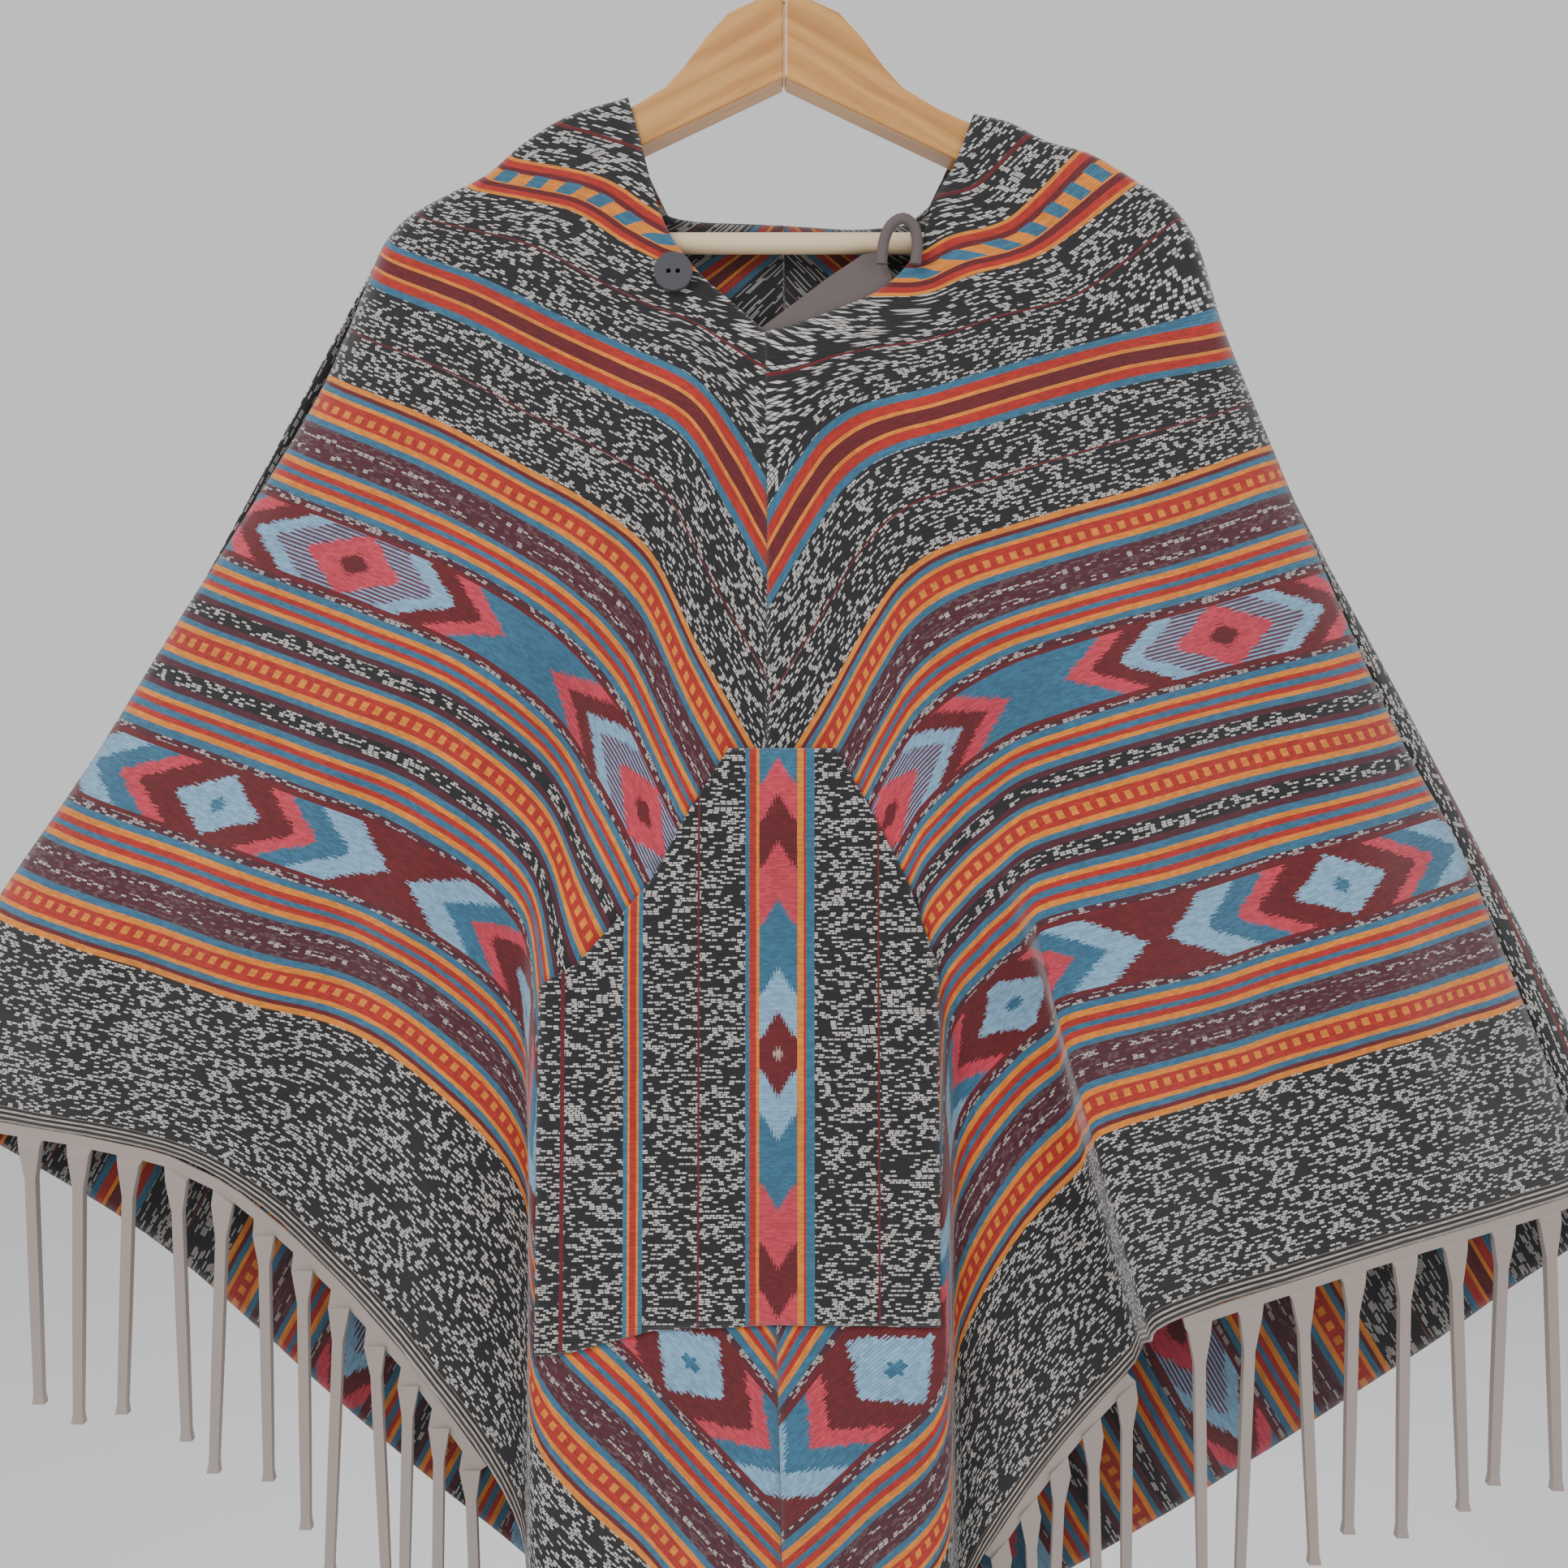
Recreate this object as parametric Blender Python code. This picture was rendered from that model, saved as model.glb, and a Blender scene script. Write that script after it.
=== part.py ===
"""A hooded poncho of striped shawl cloth on its wooden hanger.

Metres, +Z up. The front of the garment faces -Y and +X is the viewer's right.
The origin is the inside top of the hanger's hook, where a rail carries it. The
hanger lies in the plane y = 0, and the cloth hangs flat in front of it and behind.

Each half of the front is a right triangle of shawl cloth: its legs are the side
seam and the fringed hem, and its long side is the centre seam. Each half of the
back is the same triangle with a plain hem. A panel is lofted through sections,
each a line at one distance from the hem, from the side seam to the centre seam.
"""

import math
from dataclasses import dataclass

import bmesh
import bpy
from mathutils import Matrix, Vector
from mathutils.bvhtree import BVHTree

MM = 0.001
WALL_MM = 2.0
WALL = WALL_MM * MM
SEAM_GAP_MM = 0.4
# Edges that turn by more than this stay sharp
SHARP_DEGREES = 50
# Well in front of the whole garment, where lines that look for its cloth begin
AHEAD_Y = -200

# Cloth sections, in millimetres. Each point is x, z and y; hem is the distance
# from the hem along the cloth, and rows counts the mesh rows down to the next one.


@dataclass
class Section:
    """One line across a panel, from its side seam to its centre seam."""

    hem: float
    rows: int
    points: tuple


# Shoulder seam over the hanger's arm, x and z, from the neck corner to the arm's tip
SHOULDER_LEFT = ((-117, -131), (-143, -147), (-161, -162), (-187, -175), (-205, -186))
SHOULDER_RIGHT = ((121, -134), (143, -145), (165, -151), (191, -166), (209, -178), (223, -198))

# Points: edge, wrap, ridge, hollow, under, fold, middle, seam
FRONT_LEFT = (
    Section(647, 1, ((-84, -121, -0.7), (-83, -125, -11.6), (-75, -154, -12), (-69, -177, -12),
                     (-62, -195, -12), (-45, -218, -12), (-27, -234, -12), (-10, -249, -12))),
    Section(516, 3, ((-215, -198, -1.3), (-209, -204, -11.6), (-162, -222, -13.5), (-119, -243, -14),
                     (-84, -259, -14), (-47, -277, -14.5), (-26, -303, -15.5), (-9, -333, -17.5))),
    Section(430, 4, ((-247, -272, -1.3), (-236, -278, -9), (-183, -301, -17), (-140, -324, -18),
                     (-104, -344, -19), (-73, -369, -19.3), (-45, -424, -21.8), (-9, -488, -24.8))),
    Section(269, 3, ((-333, -412, -1.3), (-318, -418, -9), (-243, -445, -22), (-186, -467, -26),
                     (-129, -514, -26), (-108, -565, -29), (-65, -641, -32.7), (-5, -740, -37.8))),
    Section(196, 3, ((-375, -480, -1.3), (-358, -486, -10), (-272, -515, -26), (-208, -540, -26),
                     (-138, -602, -18), (-130, -699, -36), (-69, -773, -40), (-2, -844, -45.7))),
    Section(101, 4, ((-432, -564, -1.3), (-412, -571, -11), (-297, -605, -28), (-221, -630, -22),
                     (-136, -727, -16), (-131, -826, -43), (-69, -900, -46.5), (0, -980, -47))),
    Section(0, 0, ((-485, -659, -1.3), (-462, -664, -12), (-326, -684, -30), (-230, -760, -20),
                   (-138, -899, -16), (-129, -988, -46), (-69, -1049, -46), (0, -1126, -45))),
)

# Points: edge, wrap, outer, front, crease, behind, valley, under, fold, middle, seam
FRONT_RIGHT = (
    Section(652, 1, ((103, -130, -0.7), (101, -134, -11.6), (91, -160, -12), (80, -179, -12),
                     (73, -202, -12), (66, -213, -12), (56, -223, -12), (45, -230, -12),
                     (28, -237, -12), (9, -244, -12), (-10, -249, -12))),
    Section(516, 3, ((235, -238, -1.3), (228, -241, -11.6), (175, -254, -14), (127, -267, -14.5),
                     (93, -277, -14.5), (76, -282, -15), (58, -286, -15), (41, -291, -15),
                     (24, -301, -15.5), (7, -322, -16.8), (-9, -350, -18.4))),
    Section(430, 4, ((264, -310, -1.3), (253, -314, -9), (201, -333, -18), (153, -347, -20),
                     (116, -358, -22), (96, -364, -22), (79, -371, -21), (62, -384, -20.5),
                     (46, -407, -21), (23, -448, -23), (-9, -499, -25.3))),
    Section(269, 3, ((331, -462, -1.3), (316, -466, -9), (255, -479, -24), (194, -495, -30),
                     (125, -517, -36), (111, -529, -31), (94, -545, -28), (76, -568, -27),
                     (70, -591, -30), (36, -657, -33.5), (-5, -748, -38.3))),
    Section(196, 3, ((366, -527, -1.3), (350, -531, -10), (293, -547, -28), (218, -569, -38),
                     (136, -588, -50), (137, -597, -28), (119, -614, -18), (90, -655, -16),
                     (83, -769, -40), (40, -813, -43.3), (-2, -853, -46))),
    Section(101, 4, ((401, -613, -1.3), (384, -617, -11), (322, -630, -30), (242, -653, -42),
                     (160, -676, -56), (161, -692, -24), (128, -731, -16), (91, -809, -14),
                     (85, -885, -45), (44, -938, -46.7), (0, -984, -47))),
    Section(0, 0, ((438, -707, -1.3), (420, -711, -12), (356, -724, -30), (271, -746, -42),
                   (188, -772, -56), (189, -791, -22), (149, -841, -16), (93, -933, -14),
                   (83, -1009, -46), (44, -1068, -46), (0, -1128, -45))),
)

# Points: edge, wrap, outer, inner, middle, seam
BACK_LEFT = (
    Section(647, 1, ((-84, -121, 0.7), (-83, -125, 11.6), (-75, -154, 12), (-62, -180, 12),
                     (-30, -184, 12), (0, -185, 12))),
    Section(516, 5, ((-215, -198, 1.2), (-209, -204, 11.6), (-165, -225, 13), (-105, -262, 14),
                     (-50, -300, 14), (0, -335, 14))),
    Section(269, 4, ((-333, -412, 1.2), (-318, -420, 9), (-250, -462, 20), (-160, -535, 20),
                     (-75, -620, 18), (0, -700, 18))),
    Section(101, 3, ((-432, -564, 1.2), (-412, -574, 9), (-320, -632, 24), (-205, -728, 17),
                     (-95, -840, 25), (0, -930, 20))),
    Section(0, 0, ((-485, -659, 1.2), (-462, -672, 10), (-354, -742, 26), (-229, -845, 16),
                   (-112, -948, 27), (0, -1054, 20))),
)

BACK_RIGHT = (
    Section(652, 1, ((103, -130, 0.7), (101, -134, 11.6), (91, -158, 12), (76, -182, 12),
                     (38, -187, 12), (0, -185, 12))),
    Section(516, 5, ((235, -238, 1.2), (230, -243, 11.6), (180, -262, 13), (112, -285, 14),
                     (52, -310, 14), (0, -335, 14))),
    Section(269, 4, ((331, -462, 1.2), (346, -463, 7), (262, -500, 20), (165, -560, 20),
                     (78, -630, 18), (0, -700, 18))),
    Section(101, 3, ((401, -613, 1.2), (424, -614, 8), (330, -670, 22), (205, -760, 17),
                     (95, -850, 25), (0, -930, 20))),
    Section(0, 0, ((438, -707, 1.2), (470, -716, 8), (385, -784, 24), (238, -876, 16),
                   (110, -960, 27), (0, -1054, 20))),
)

# Centre front seam: z, x, y
FRONT_SEAM = (
    (-249, -10, -12),
    (-341, -9, -18),
    (-493, -9, -25),
    (-744, -5, -38),
    (-848, -2, -46),
    (-982, 0, -47),
    (-1127, 0, -45),
)

SPLITS_FRONT = 3
SPLITS_BACK = 3

# Hood: share of the way from its mouth to its tip, half width, middle depth, thickness
HOOD_ROUNDS = (
    (0.0, 1.00, 24, 19.2),
    (0.12, 1.06, 27, 22),
    (0.3, 1.22, 33, 30),
    (0.55, 1.20, 35, 32),
    (0.8, 0.80, 34, 26),
    (1.0, 0.14, 28, 9),
)
HOOD_HALF_WIDTHS = {"left": 84, "right": 98}
HOOD_TIP_Z = -520
HOOD_ROWS = 10
HOOD_COLUMNS = 10
# Mouth of the hood, x and z
HOOD_MOUTH = ((-84, -123), (-74, -156), (-62, -181), (0, -184), (62, -188), (80, -172), (98, -134))

# Pocket: z, left edge, right edge
POCKET_WIDTHS = (
    (-472, -29, 27),
    (-505, -50, 46),
    (-542, -70, 65),
    (-585, -108, 80),
    (-596, -128, 81),
    (-680, -129, 81),
)
# Pocket's lower edge: x and z
POCKET_FOOT = ((-130, -787), (-111, -785), (-69, -774), (-6, -771), (82, -772))
POCKET_ROWS = 11
POCKET_COLUMNS = 12
LIE_REACH = 11
LIE_CLEAR = 2.2
# Gap under what is sewn on the cloth
SEWN_CLEAR = 0.4

# Facing turned in along the right of the neck: lower x, z, upper x, z
NECK_FACING = (
    (-7, -262, -12, -246),
    (12, -256, 8, -231),
    (34, -249, 24, -219),
    (50, -242, 42, -207),
    (62, -232, 53, -205),
)
FACING_Y = -9.5
FACING_LEAN = 1

BUTTON_X, BUTTON_Z = -59, -218
BUTTON_RADIUS = 10.3
BUTTON_THICK = 4.0
BUTTON_SIDES = 40
BUTTON_REACH = 7.2
BUTTON_HOLE_RADIUS = 1.3
BUTTON_HOLE_APART = 5.0
BUTTON_HOLE_SIDES = 12

# Loop of cloth that takes the button, x, z and distance in front of the cloth
LOOP_PATH = (
    (52, -214, 0), (53, -203, 1), (57, -194, 3), (63, -191, 4), (69, -195, 3), (71, -204, 1), (70, -214, 0),
)
LOOP_RADIUS = 3.0
LOOP_SPLITS = 3
TUBE_ROUNDNESS = 3

TASSEL_PITCH = 30.0
TASSEL_LENGTH = 140.0
STRIP_HEIGHT = 6.0
# Share of the hem that a strip leaves free at each end
STRIP_END = 0.002
# How far the cords' tips stray along and off the cloth, and the share by which their lengths differ
TASSEL_STRAY = (6, 2)
TASSEL_UNEVEN = 0.05
TASSEL_HALF_DEPTH = 2.8
# Share of the tassel's length, half width
TASSEL_RINGS = ((0.03, 5.6), (0.15, 2.8), (0.6, 2.7), (0.96, 2.4), (1.0, 3.2))
# Stretches of fringe that the pleats part, each a front half and its first and last mesh columns
FRINGES = (
    ("fringe_left_side", "left", 0, 11),
    ("fringe_left_centre", "left", 16, 21),
    ("fringe_right_side", "right", 0, 11),
    ("fringe_right_valley", "right", 16, 20),
    ("fringe_right_centre", "right", 25, 30),
)

# Hanger's arm, x and z, from the mitre round to the mitre
ARM_OUTLINE = (
    (0.2, -68), (15, -70), (30, -77), (42, -90), (54, -106), (64, -117), (84, -129), (102, -137),
    (121, -143), (143, -156), (161, -171), (187, -185), (196, -192), (200, -199), (200, -207),
    (194, -211), (150, -184), (80, -150), (0.2, -112),
)
ARM_THICK = 20.6
ARM_BEVEL = 1.5
DOWEL_RADIUS = 5.75
DOWEL_Z = -198
DOWEL_HALF_LENGTH = 190
DOWEL_SIDES = 24
SOCKET_CLEAR = 0.3
SOCKET_CUTTER_LENGTH = 60

HOOK_RADIUS = 2.2
HOOK_BEND = 22.0
HOOK_START_DEGREES = -62
HOOK_END_DEGREES = 195
HOOK_FOOT_Z = -67.6
# The stem runs up straight for half of its steps and then leans out to the bend
HOOK_STEM_STEPS = 8
HOOK_STEM_CLEAR = 8
HOOK_LEAN = 1.6
HOOK_BEND_STEPS = 22

FINISHES = {
    "cloth": ((0.07, 0.06, 0.065, 1), 0.95, 0.0),
    "reverse": ((0.05, 0.05, 0.055, 1), 0.95, 0.0),
    "pocket": ((0.16, 0.15, 0.15, 1), 0.95, 0.0),
    "trim": ((0.5, 0.1, 0.03, 1), 0.9, 0.0),
    "yarn": ((0.32, 0.28, 0.25, 1), 0.9, 0.0),
    "wood": ((0.62, 0.36, 0.13, 1), 0.35, 0.0),
    "dowel": ((0.78, 0.6, 0.38, 1), 0.6, 0.0),
    "metal": ((0.7, 0.7, 0.68, 1), 0.25, 1.0),
    "button": ((0.06, 0.06, 0.065, 1), 0.45, 0.0),
}


def clear_scene():
    """Remove whatever the file opened with."""
    for old in list(bpy.data.objects):
        bpy.data.objects.remove(old, do_unlink=True)


def finish(name):
    """The material of one finish, made once."""
    if name in bpy.data.materials:
        return bpy.data.materials[name]
    colour, roughness, metallic = FINISHES[name]
    material = bpy.data.materials.new(name)
    material.use_nodes = True
    shader = material.node_tree.nodes["Principled BSDF"]
    shader.inputs["Base Color"].default_value = colour
    shader.inputs["Roughness"].default_value = roughness
    shader.inputs["Metallic"].default_value = metallic
    material.diffuse_color = colour
    return material


def add_object(name, mesh, finish_name, round_piece=True):
    """Link a mesh as an object in its own finish."""
    item = bpy.data.objects.new(name, mesh)
    bpy.context.scene.collection.objects.link(item)
    mesh.materials.append(finish(finish_name))
    if round_piece:
        mesh.shade_smooth()
        mesh.set_sharp_from_angle(angle=math.radians(SHARP_DEGREES))
    return item


def mesh_from(name, build):
    """A mesh from a bmesh, with its faces turned outwards."""
    bmesh.ops.recalc_face_normals(build, faces=build.faces[:])
    mesh = bpy.data.meshes.new(name)
    build.to_mesh(mesh)
    build.free()
    return mesh


def along(values, at):
    """A smooth curve through evenly spaced values that never overshoots them."""
    index = min(int(at), len(values) - 2)
    share = at - index

    def slope(place):
        before = values[max(place, 1)] - values[max(place, 1) - 1]
        last = len(values) - 1
        after = values[min(place, last - 1) + 1] - values[min(place, last - 1)]
        return 0.0 if before * after <= 0 else 2 * before * after / (before + after)

    start, end = values[index], values[index + 1]
    square, cube = share**2, share**3
    return (
        (2 * cube - 3 * square + 1) * start
        + (cube - 2 * square + share) * slope(index)
        + (3 * square - 2 * cube) * end
        + (cube - square) * slope(index + 1)
    )


def straight(table, at):
    """Read a table, each row a key and its values, in straight stretches between its keys."""
    rows = sorted(table)
    at = min(max(at, rows[0][0]), rows[-1][0])
    for low, high in zip(rows, rows[1:]):
        if at <= high[0]:
            share = (at - low[0]) / (high[0] - low[0])
            return [a + (b - a) * share for a, b in zip(low[1:], high[1:])]
    return list(rows[-1][1:])


def with_shoulder(sections, shoulder):
    """The sections, with more between the first two, whose edges follow the shoulder over the hanger's arm."""
    neck, tip = sections[0], sections[1]
    between = []
    for count, (x, z) in enumerate(shoulder, start=1):
        share = count / (len(shoulder) + 1)
        pairs = zip(neck.points, tip.points)
        points = [tuple(a + (b - a) * share for a, b in zip(start, end)) for start, end in pairs]
        edge, wrap = points[0], points[1]
        top = (x, z, neck.points[0][2])
        points[0] = top
        points[1] = (x + wrap[0] - edge[0], z + wrap[1] - edge[1], wrap[2])
        between.append(Section(neck.hem + (tip.hem - neck.hem) * share, 1, tuple(points)))
    return (neck, *between, *sections[1:])


def panel_grid(sections, splits):
    """Rows of points, in millimetres, of a panel lofted through its sections."""
    columns = len(sections[0].points)
    grid = []
    for number, section in enumerate(sections):
        for step in range(section.rows or 1):
            at = number + step / (section.rows or 1)
            line = [
                [along([each.points[column][axis] for each in sections], at) for axis in range(3)]
                for column in range(columns)
            ]
            row = []
            for place in range((columns - 1) * splits + 1):
                x, z, y = (along([point[axis] for point in line], place / splits) for axis in range(3))
                row.append(Vector((x, y, z)))
            grid.append(row)
    return grid


def front_grid(sections, shoulder, side):
    """A front half, whose last column lies on the centre seam."""
    grid = panel_grid(with_shoulder(sections, shoulder), SPLITS_FRONT)
    for row in grid:
        x, y = straight(FRONT_SEAM, row[-1].z)
        row[-1].x = x + side * SEAM_GAP_MM / 2
        row[-1].y = y
    return grid


def back_grid(sections, shoulder, side):
    """A back half, whose last column lies on the centre seam."""
    grid = panel_grid(with_shoulder(sections, shoulder), SPLITS_BACK)
    for row in grid:
        row[-1].x = side * SEAM_GAP_MM / 2
    return grid


def grid_normals(grid):
    """The direction out of the cloth at each point of a grid."""
    last_row, last_column = len(grid) - 1, len(grid[0]) - 1
    normals = []
    for i in range(last_row + 1):
        line = []
        for j in range(last_column + 1):
            down = grid[min(i + 1, last_row)][j] - grid[max(i - 1, 0)][j]
            across = grid[i][min(j + 1, last_column)] - grid[i][max(j - 1, 0)]
            line.append(down.cross(across).normalized())
        normals.append(line)
    return normals


def wall_object(name, grid, finish_name):
    """A cloth wall of even thickness on a grid of points in millimetres."""
    normals = grid_normals(grid)
    rows, columns = len(grid), len(grid[0])
    build = bmesh.new()
    skins = []
    for side in (0.5, -0.5):
        skins.append(
            [
                [build.verts.new(grid[i][j] * MM + normals[i][j] * WALL * side) for j in range(columns)]
                for i in range(rows)
            ]
        )
    for skin in skins:
        for i in range(rows - 1):
            for j in range(columns - 1):
                build.faces.new((skin[i][j], skin[i + 1][j], skin[i + 1][j + 1], skin[i][j + 1]))
    border = [(0, j) for j in range(columns)]
    border += [(i, columns - 1) for i in range(1, rows)]
    border += [(rows - 1, j) for j in range(columns - 2, -1, -1)]
    border += [(i, 0) for i in range(rows - 2, 0, -1)]
    outer, inner = skins
    for (i, j), (k, m) in zip(border, border[1:] + border[:1]):
        build.faces.new((outer[i][j], outer[k][m], inner[k][m], inner[i][j]))
    add_object(name, mesh_from(name, build), finish_name)


def surface_of(*grids):
    """A tree of the cloth's middle surfaces, for pieces that lie on it."""
    points, faces = [], []
    for grid in grids:
        start, columns = len(points), len(grid[0])
        for row in grid:
            points.extend(row)
        for i in range(len(grid) - 1):
            for j in range(columns - 1):
                corner = start + i * columns + j
                faces.append((corner, corner + columns, corner + columns + 1, corner + 1))
    return BVHTree.FromPolygons(points, faces)


def foremost(surface, x, z, reach):
    """How far forward the cloth comes round a place, in millimetres."""
    found = []
    for right in (-reach, 0, reach):
        for up in (-reach, 0, reach):
            hit = surface.ray_cast(Vector((x + right, AHEAD_Y, z + up)), Vector((0, 1, 0)))[0]
            if hit is not None and hit.y < 0:
                found.append(hit.y)
    return min(found)


def build_hood(side_name, side):
    """Half of the hood, which hangs behind the back as a flat bag, open at its mouth."""
    grid = []
    for i in range(HOOD_ROWS + 1):
        share = i / HOOD_ROWS
        width, middle, thick = straight(HOOD_ROUNDS, share)
        half_width = HOOD_HALF_WIDTHS[side_name] * width
        row = []
        for j in range(HOOD_COLUMNS + 1):
            angle = math.pi * j / HOOD_COLUMNS
            across = math.sin(angle)
            mouth_x = side * HOOD_HALF_WIDTHS[side_name] * across
            (mouth_z,) = straight(HOOD_MOUTH, mouth_x)
            x = side * (half_width * across + SEAM_GAP_MM / 2)
            y = middle - thick / 2 * math.cos(angle)
            row.append(Vector((x, y, mouth_z + (HOOD_TIP_Z - mouth_z) * share)))
        grid.append(row)
    wall_object(f"hood_{side_name}", grid, "cloth")


def build_pocket(surface):
    """The pouch pocket, made from the front's own points, moved out."""
    grid = []
    top = POCKET_WIDTHS[0][0]
    for i in range(POCKET_ROWS + 1):
        row = []
        for j in range(POCKET_COLUMNS + 1):
            share = j / POCKET_COLUMNS
            foot_x = POCKET_FOOT[0][0] + (POCKET_FOOT[-1][0] - POCKET_FOOT[0][0]) * share
            (foot,) = straight(POCKET_FOOT, foot_x)
            z = top + (foot - top) * i / POCKET_ROWS
            left, right = straight(POCKET_WIDTHS, z)
            x = left + (right - left) * share
            row.append(Vector((x, foremost(surface, x, z, LIE_REACH) - LIE_CLEAR, z)))
        grid.append(row)
    wall_object("pocket", grid, "pocket")


def build_facing():
    """The strip turned in behind the neck's right edge."""
    grid = []
    for lower_x, lower_z, upper_x, upper_z in NECK_FACING:
        low = Vector((lower_x, FACING_Y, lower_z))
        high = Vector((upper_x, FACING_Y + FACING_LEAN, upper_z))
        grid.append([low, low.lerp(high, 0.5), high])
    wall_object("neck_facing", grid, "trim")


def cylinder(name, radius, length, sides):
    """A closed cylinder along Y about the origin."""
    build = bmesh.new()
    bmesh.ops.create_cone(build, cap_ends=True, segments=sides, radius1=radius, radius2=radius, depth=length)
    bmesh.ops.rotate(build, verts=build.verts, matrix=Matrix.Rotation(math.pi / 2, 3, "X"))
    return mesh_from(name, build)


def turn_across(mesh):
    """Turn a cylinder along Y to lie along X."""
    mesh.transform(Matrix.Rotation(math.pi / 2, 4, "Z"))


def cut(item, cutter_mesh, place):
    """Take a cutter, at a place, out of an object."""
    cutter = bpy.data.objects.new(f"{item.name}_cutter", cutter_mesh)
    bpy.context.scene.collection.objects.link(cutter)
    cutter.location = place
    cutter.hide_render = True
    cutter.display_type = "WIRE"
    boolean = item.modifiers.new("Cut", "BOOLEAN")
    boolean.operation = "DIFFERENCE"
    boolean.object = cutter


def build_button(surface):
    """The two-holed button on the left of the neck."""
    lies = foremost(surface, BUTTON_X, BUTTON_Z, BUTTON_REACH)
    y = (lies - WALL_MM / 2 - SEWN_CLEAR - BUTTON_THICK / 2) * MM
    disc = cylinder("button", BUTTON_RADIUS * MM, BUTTON_THICK * MM, BUTTON_SIDES)
    item = add_object("button", disc, "button")
    item.location = (BUTTON_X * MM, y, BUTTON_Z * MM)
    for side in (-1, 1):
        hole = cylinder("hole", BUTTON_HOLE_RADIUS * MM, 2 * BUTTON_THICK * MM, BUTTON_HOLE_SIDES)
        across = side * BUTTON_HOLE_APART / 2 * MM
        cut(item, hole, (BUTTON_X * MM + across, y, BUTTON_Z * MM))


def tube(name, points, radius, finish_name):
    """A round tube with closed ends through points in metres."""
    curve = bpy.data.curves.new(name, "CURVE")
    curve.dimensions = "3D"
    curve.bevel_depth = radius
    curve.bevel_resolution = TUBE_ROUNDNESS
    curve.use_fill_caps = True
    spline = curve.splines.new("POLY")
    spline.points.add(len(points) - 1)
    for target, point in zip(spline.points, points):
        target.co = (*point, 1)
    item = bpy.data.objects.new(name, curve)
    bpy.context.scene.collection.objects.link(item)
    curve.materials.append(finish(finish_name))


def build_loop(surface):
    """The cloth loop on the right of the neck, which takes the button."""
    crown_x, foot_z = LOOP_PATH[3][0], LOOP_PATH[0][1]
    y = foremost(surface, crown_x, foot_z, LOOP_RADIUS) - WALL_MM / 2 - LOOP_RADIUS - SEWN_CLEAR
    points = []
    for place in range((len(LOOP_PATH) - 1) * LOOP_SPLITS + 1):
        x, z, out = (along([point[axis] for point in LOOP_PATH], place / LOOP_SPLITS) for axis in range(3))
        points.append(Vector((x, y - out, z)) * MM)
    tube("button_loop", points, LOOP_RADIUS * MM, "trim")


def hem_marks(grid, first, last):
    """Points along the hem, two for each tassel, with the directions off its edge and out of the cloth."""
    normals = grid_normals(grid)[-1][first : last + 1]
    hem, above = grid[-1][first : last + 1], grid[-2][first : last + 1]
    reach = [0.0]
    for a, b in zip(hem, hem[1:]):
        reach.append(reach[-1] + (b - a).length)
    count = 2 * round(reach[-1] / TASSEL_PITCH) + 1
    marks = []
    for number in range(count + 1):
        at = reach[-1] * (STRIP_END + (1 - 2 * STRIP_END) * number / count)
        index = max(i for i, far in enumerate(reach[:-1]) if far <= at)
        share = (at - reach[index]) / (reach[index + 1] - reach[index])
        point = hem[index].lerp(hem[index + 1], share)
        out = normals[index].lerp(normals[index + 1], share).normalized()
        down = out.cross(hem[index + 1] - hem[index]).normalized()
        if down.dot(point - above[index].lerp(above[index + 1], share)) < 0:
            down = -down
        marks.append((point, down, out))
    return marks


def build_fringe(name, grid, first, last):
    """A narrow strip under the hem with knotted cords hanging from it, fused at their roots."""
    build = bmesh.new()
    half = WALL_MM / 2
    lines = []
    for point, down, out in hem_marks(grid, first, last):
        top, bottom = point + down * SEAM_GAP_MM, point + down * (SEAM_GAP_MM + STRIP_HEIGHT)
        corners = (top + out * half, top - out * half, bottom - out * half, bottom + out * half)
        lines.append([build.verts.new(corner * MM) for corner in corners])
    build.faces.new(lines[0])
    build.faces.new(lines[-1])
    for number, (line, after) in enumerate(zip(lines, lines[1:])):
        for corner in (0, 1, 3):
            follow = (corner + 1) % 4
            build.faces.new((line[corner], line[follow], after[follow], after[corner]))
        foot = (line[2], line[3], after[3], after[2])
        if number % 2 == 0:
            add_tassel(build, foot, number // 2)
        else:
            build.faces.new(foot)
    add_object(name, mesh_from(name, build), "yarn")


def add_tassel(build, foot, number):
    """Draw one cord down from a face of the strip, its length and sway told by its number."""
    middle = sum((vert.co for vert in foot), Vector()) / 4
    onward = math.copysign(1, foot[2].co.x - foot[1].co.x)
    toward = math.copysign(1, foot[1].co.y - foot[0].co.y)
    signs = ((-onward, -toward), (-onward, toward), (onward, toward), (onward, -toward))
    ring = list(foot)
    length = TASSEL_LENGTH * (1 + TASSEL_UNEVEN * math.sin(2.1 * number)) * MM
    aside, forward_by = TASSEL_STRAY
    stray = Vector((aside * math.sin(2.4 * number), forward_by * math.cos(1.7 * number), 0)) * MM
    for share, half_width in TASSEL_RINGS:
        centre = middle + stray * share - Vector((0, 0, length * share))
        half = half_width * MM
        flat = min(half, TASSEL_HALF_DEPTH * MM)
        corners = [centre + Vector((right * half, forward * flat, 0)) for right, forward in signs]
        new = [build.verts.new(corner) for corner in corners]
        for corner in range(4):
            follow = (corner + 1) % 4
            build.faces.new((ring[corner], ring[follow], new[follow], new[corner]))
        ring = new
    build.faces.new(ring)


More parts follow.
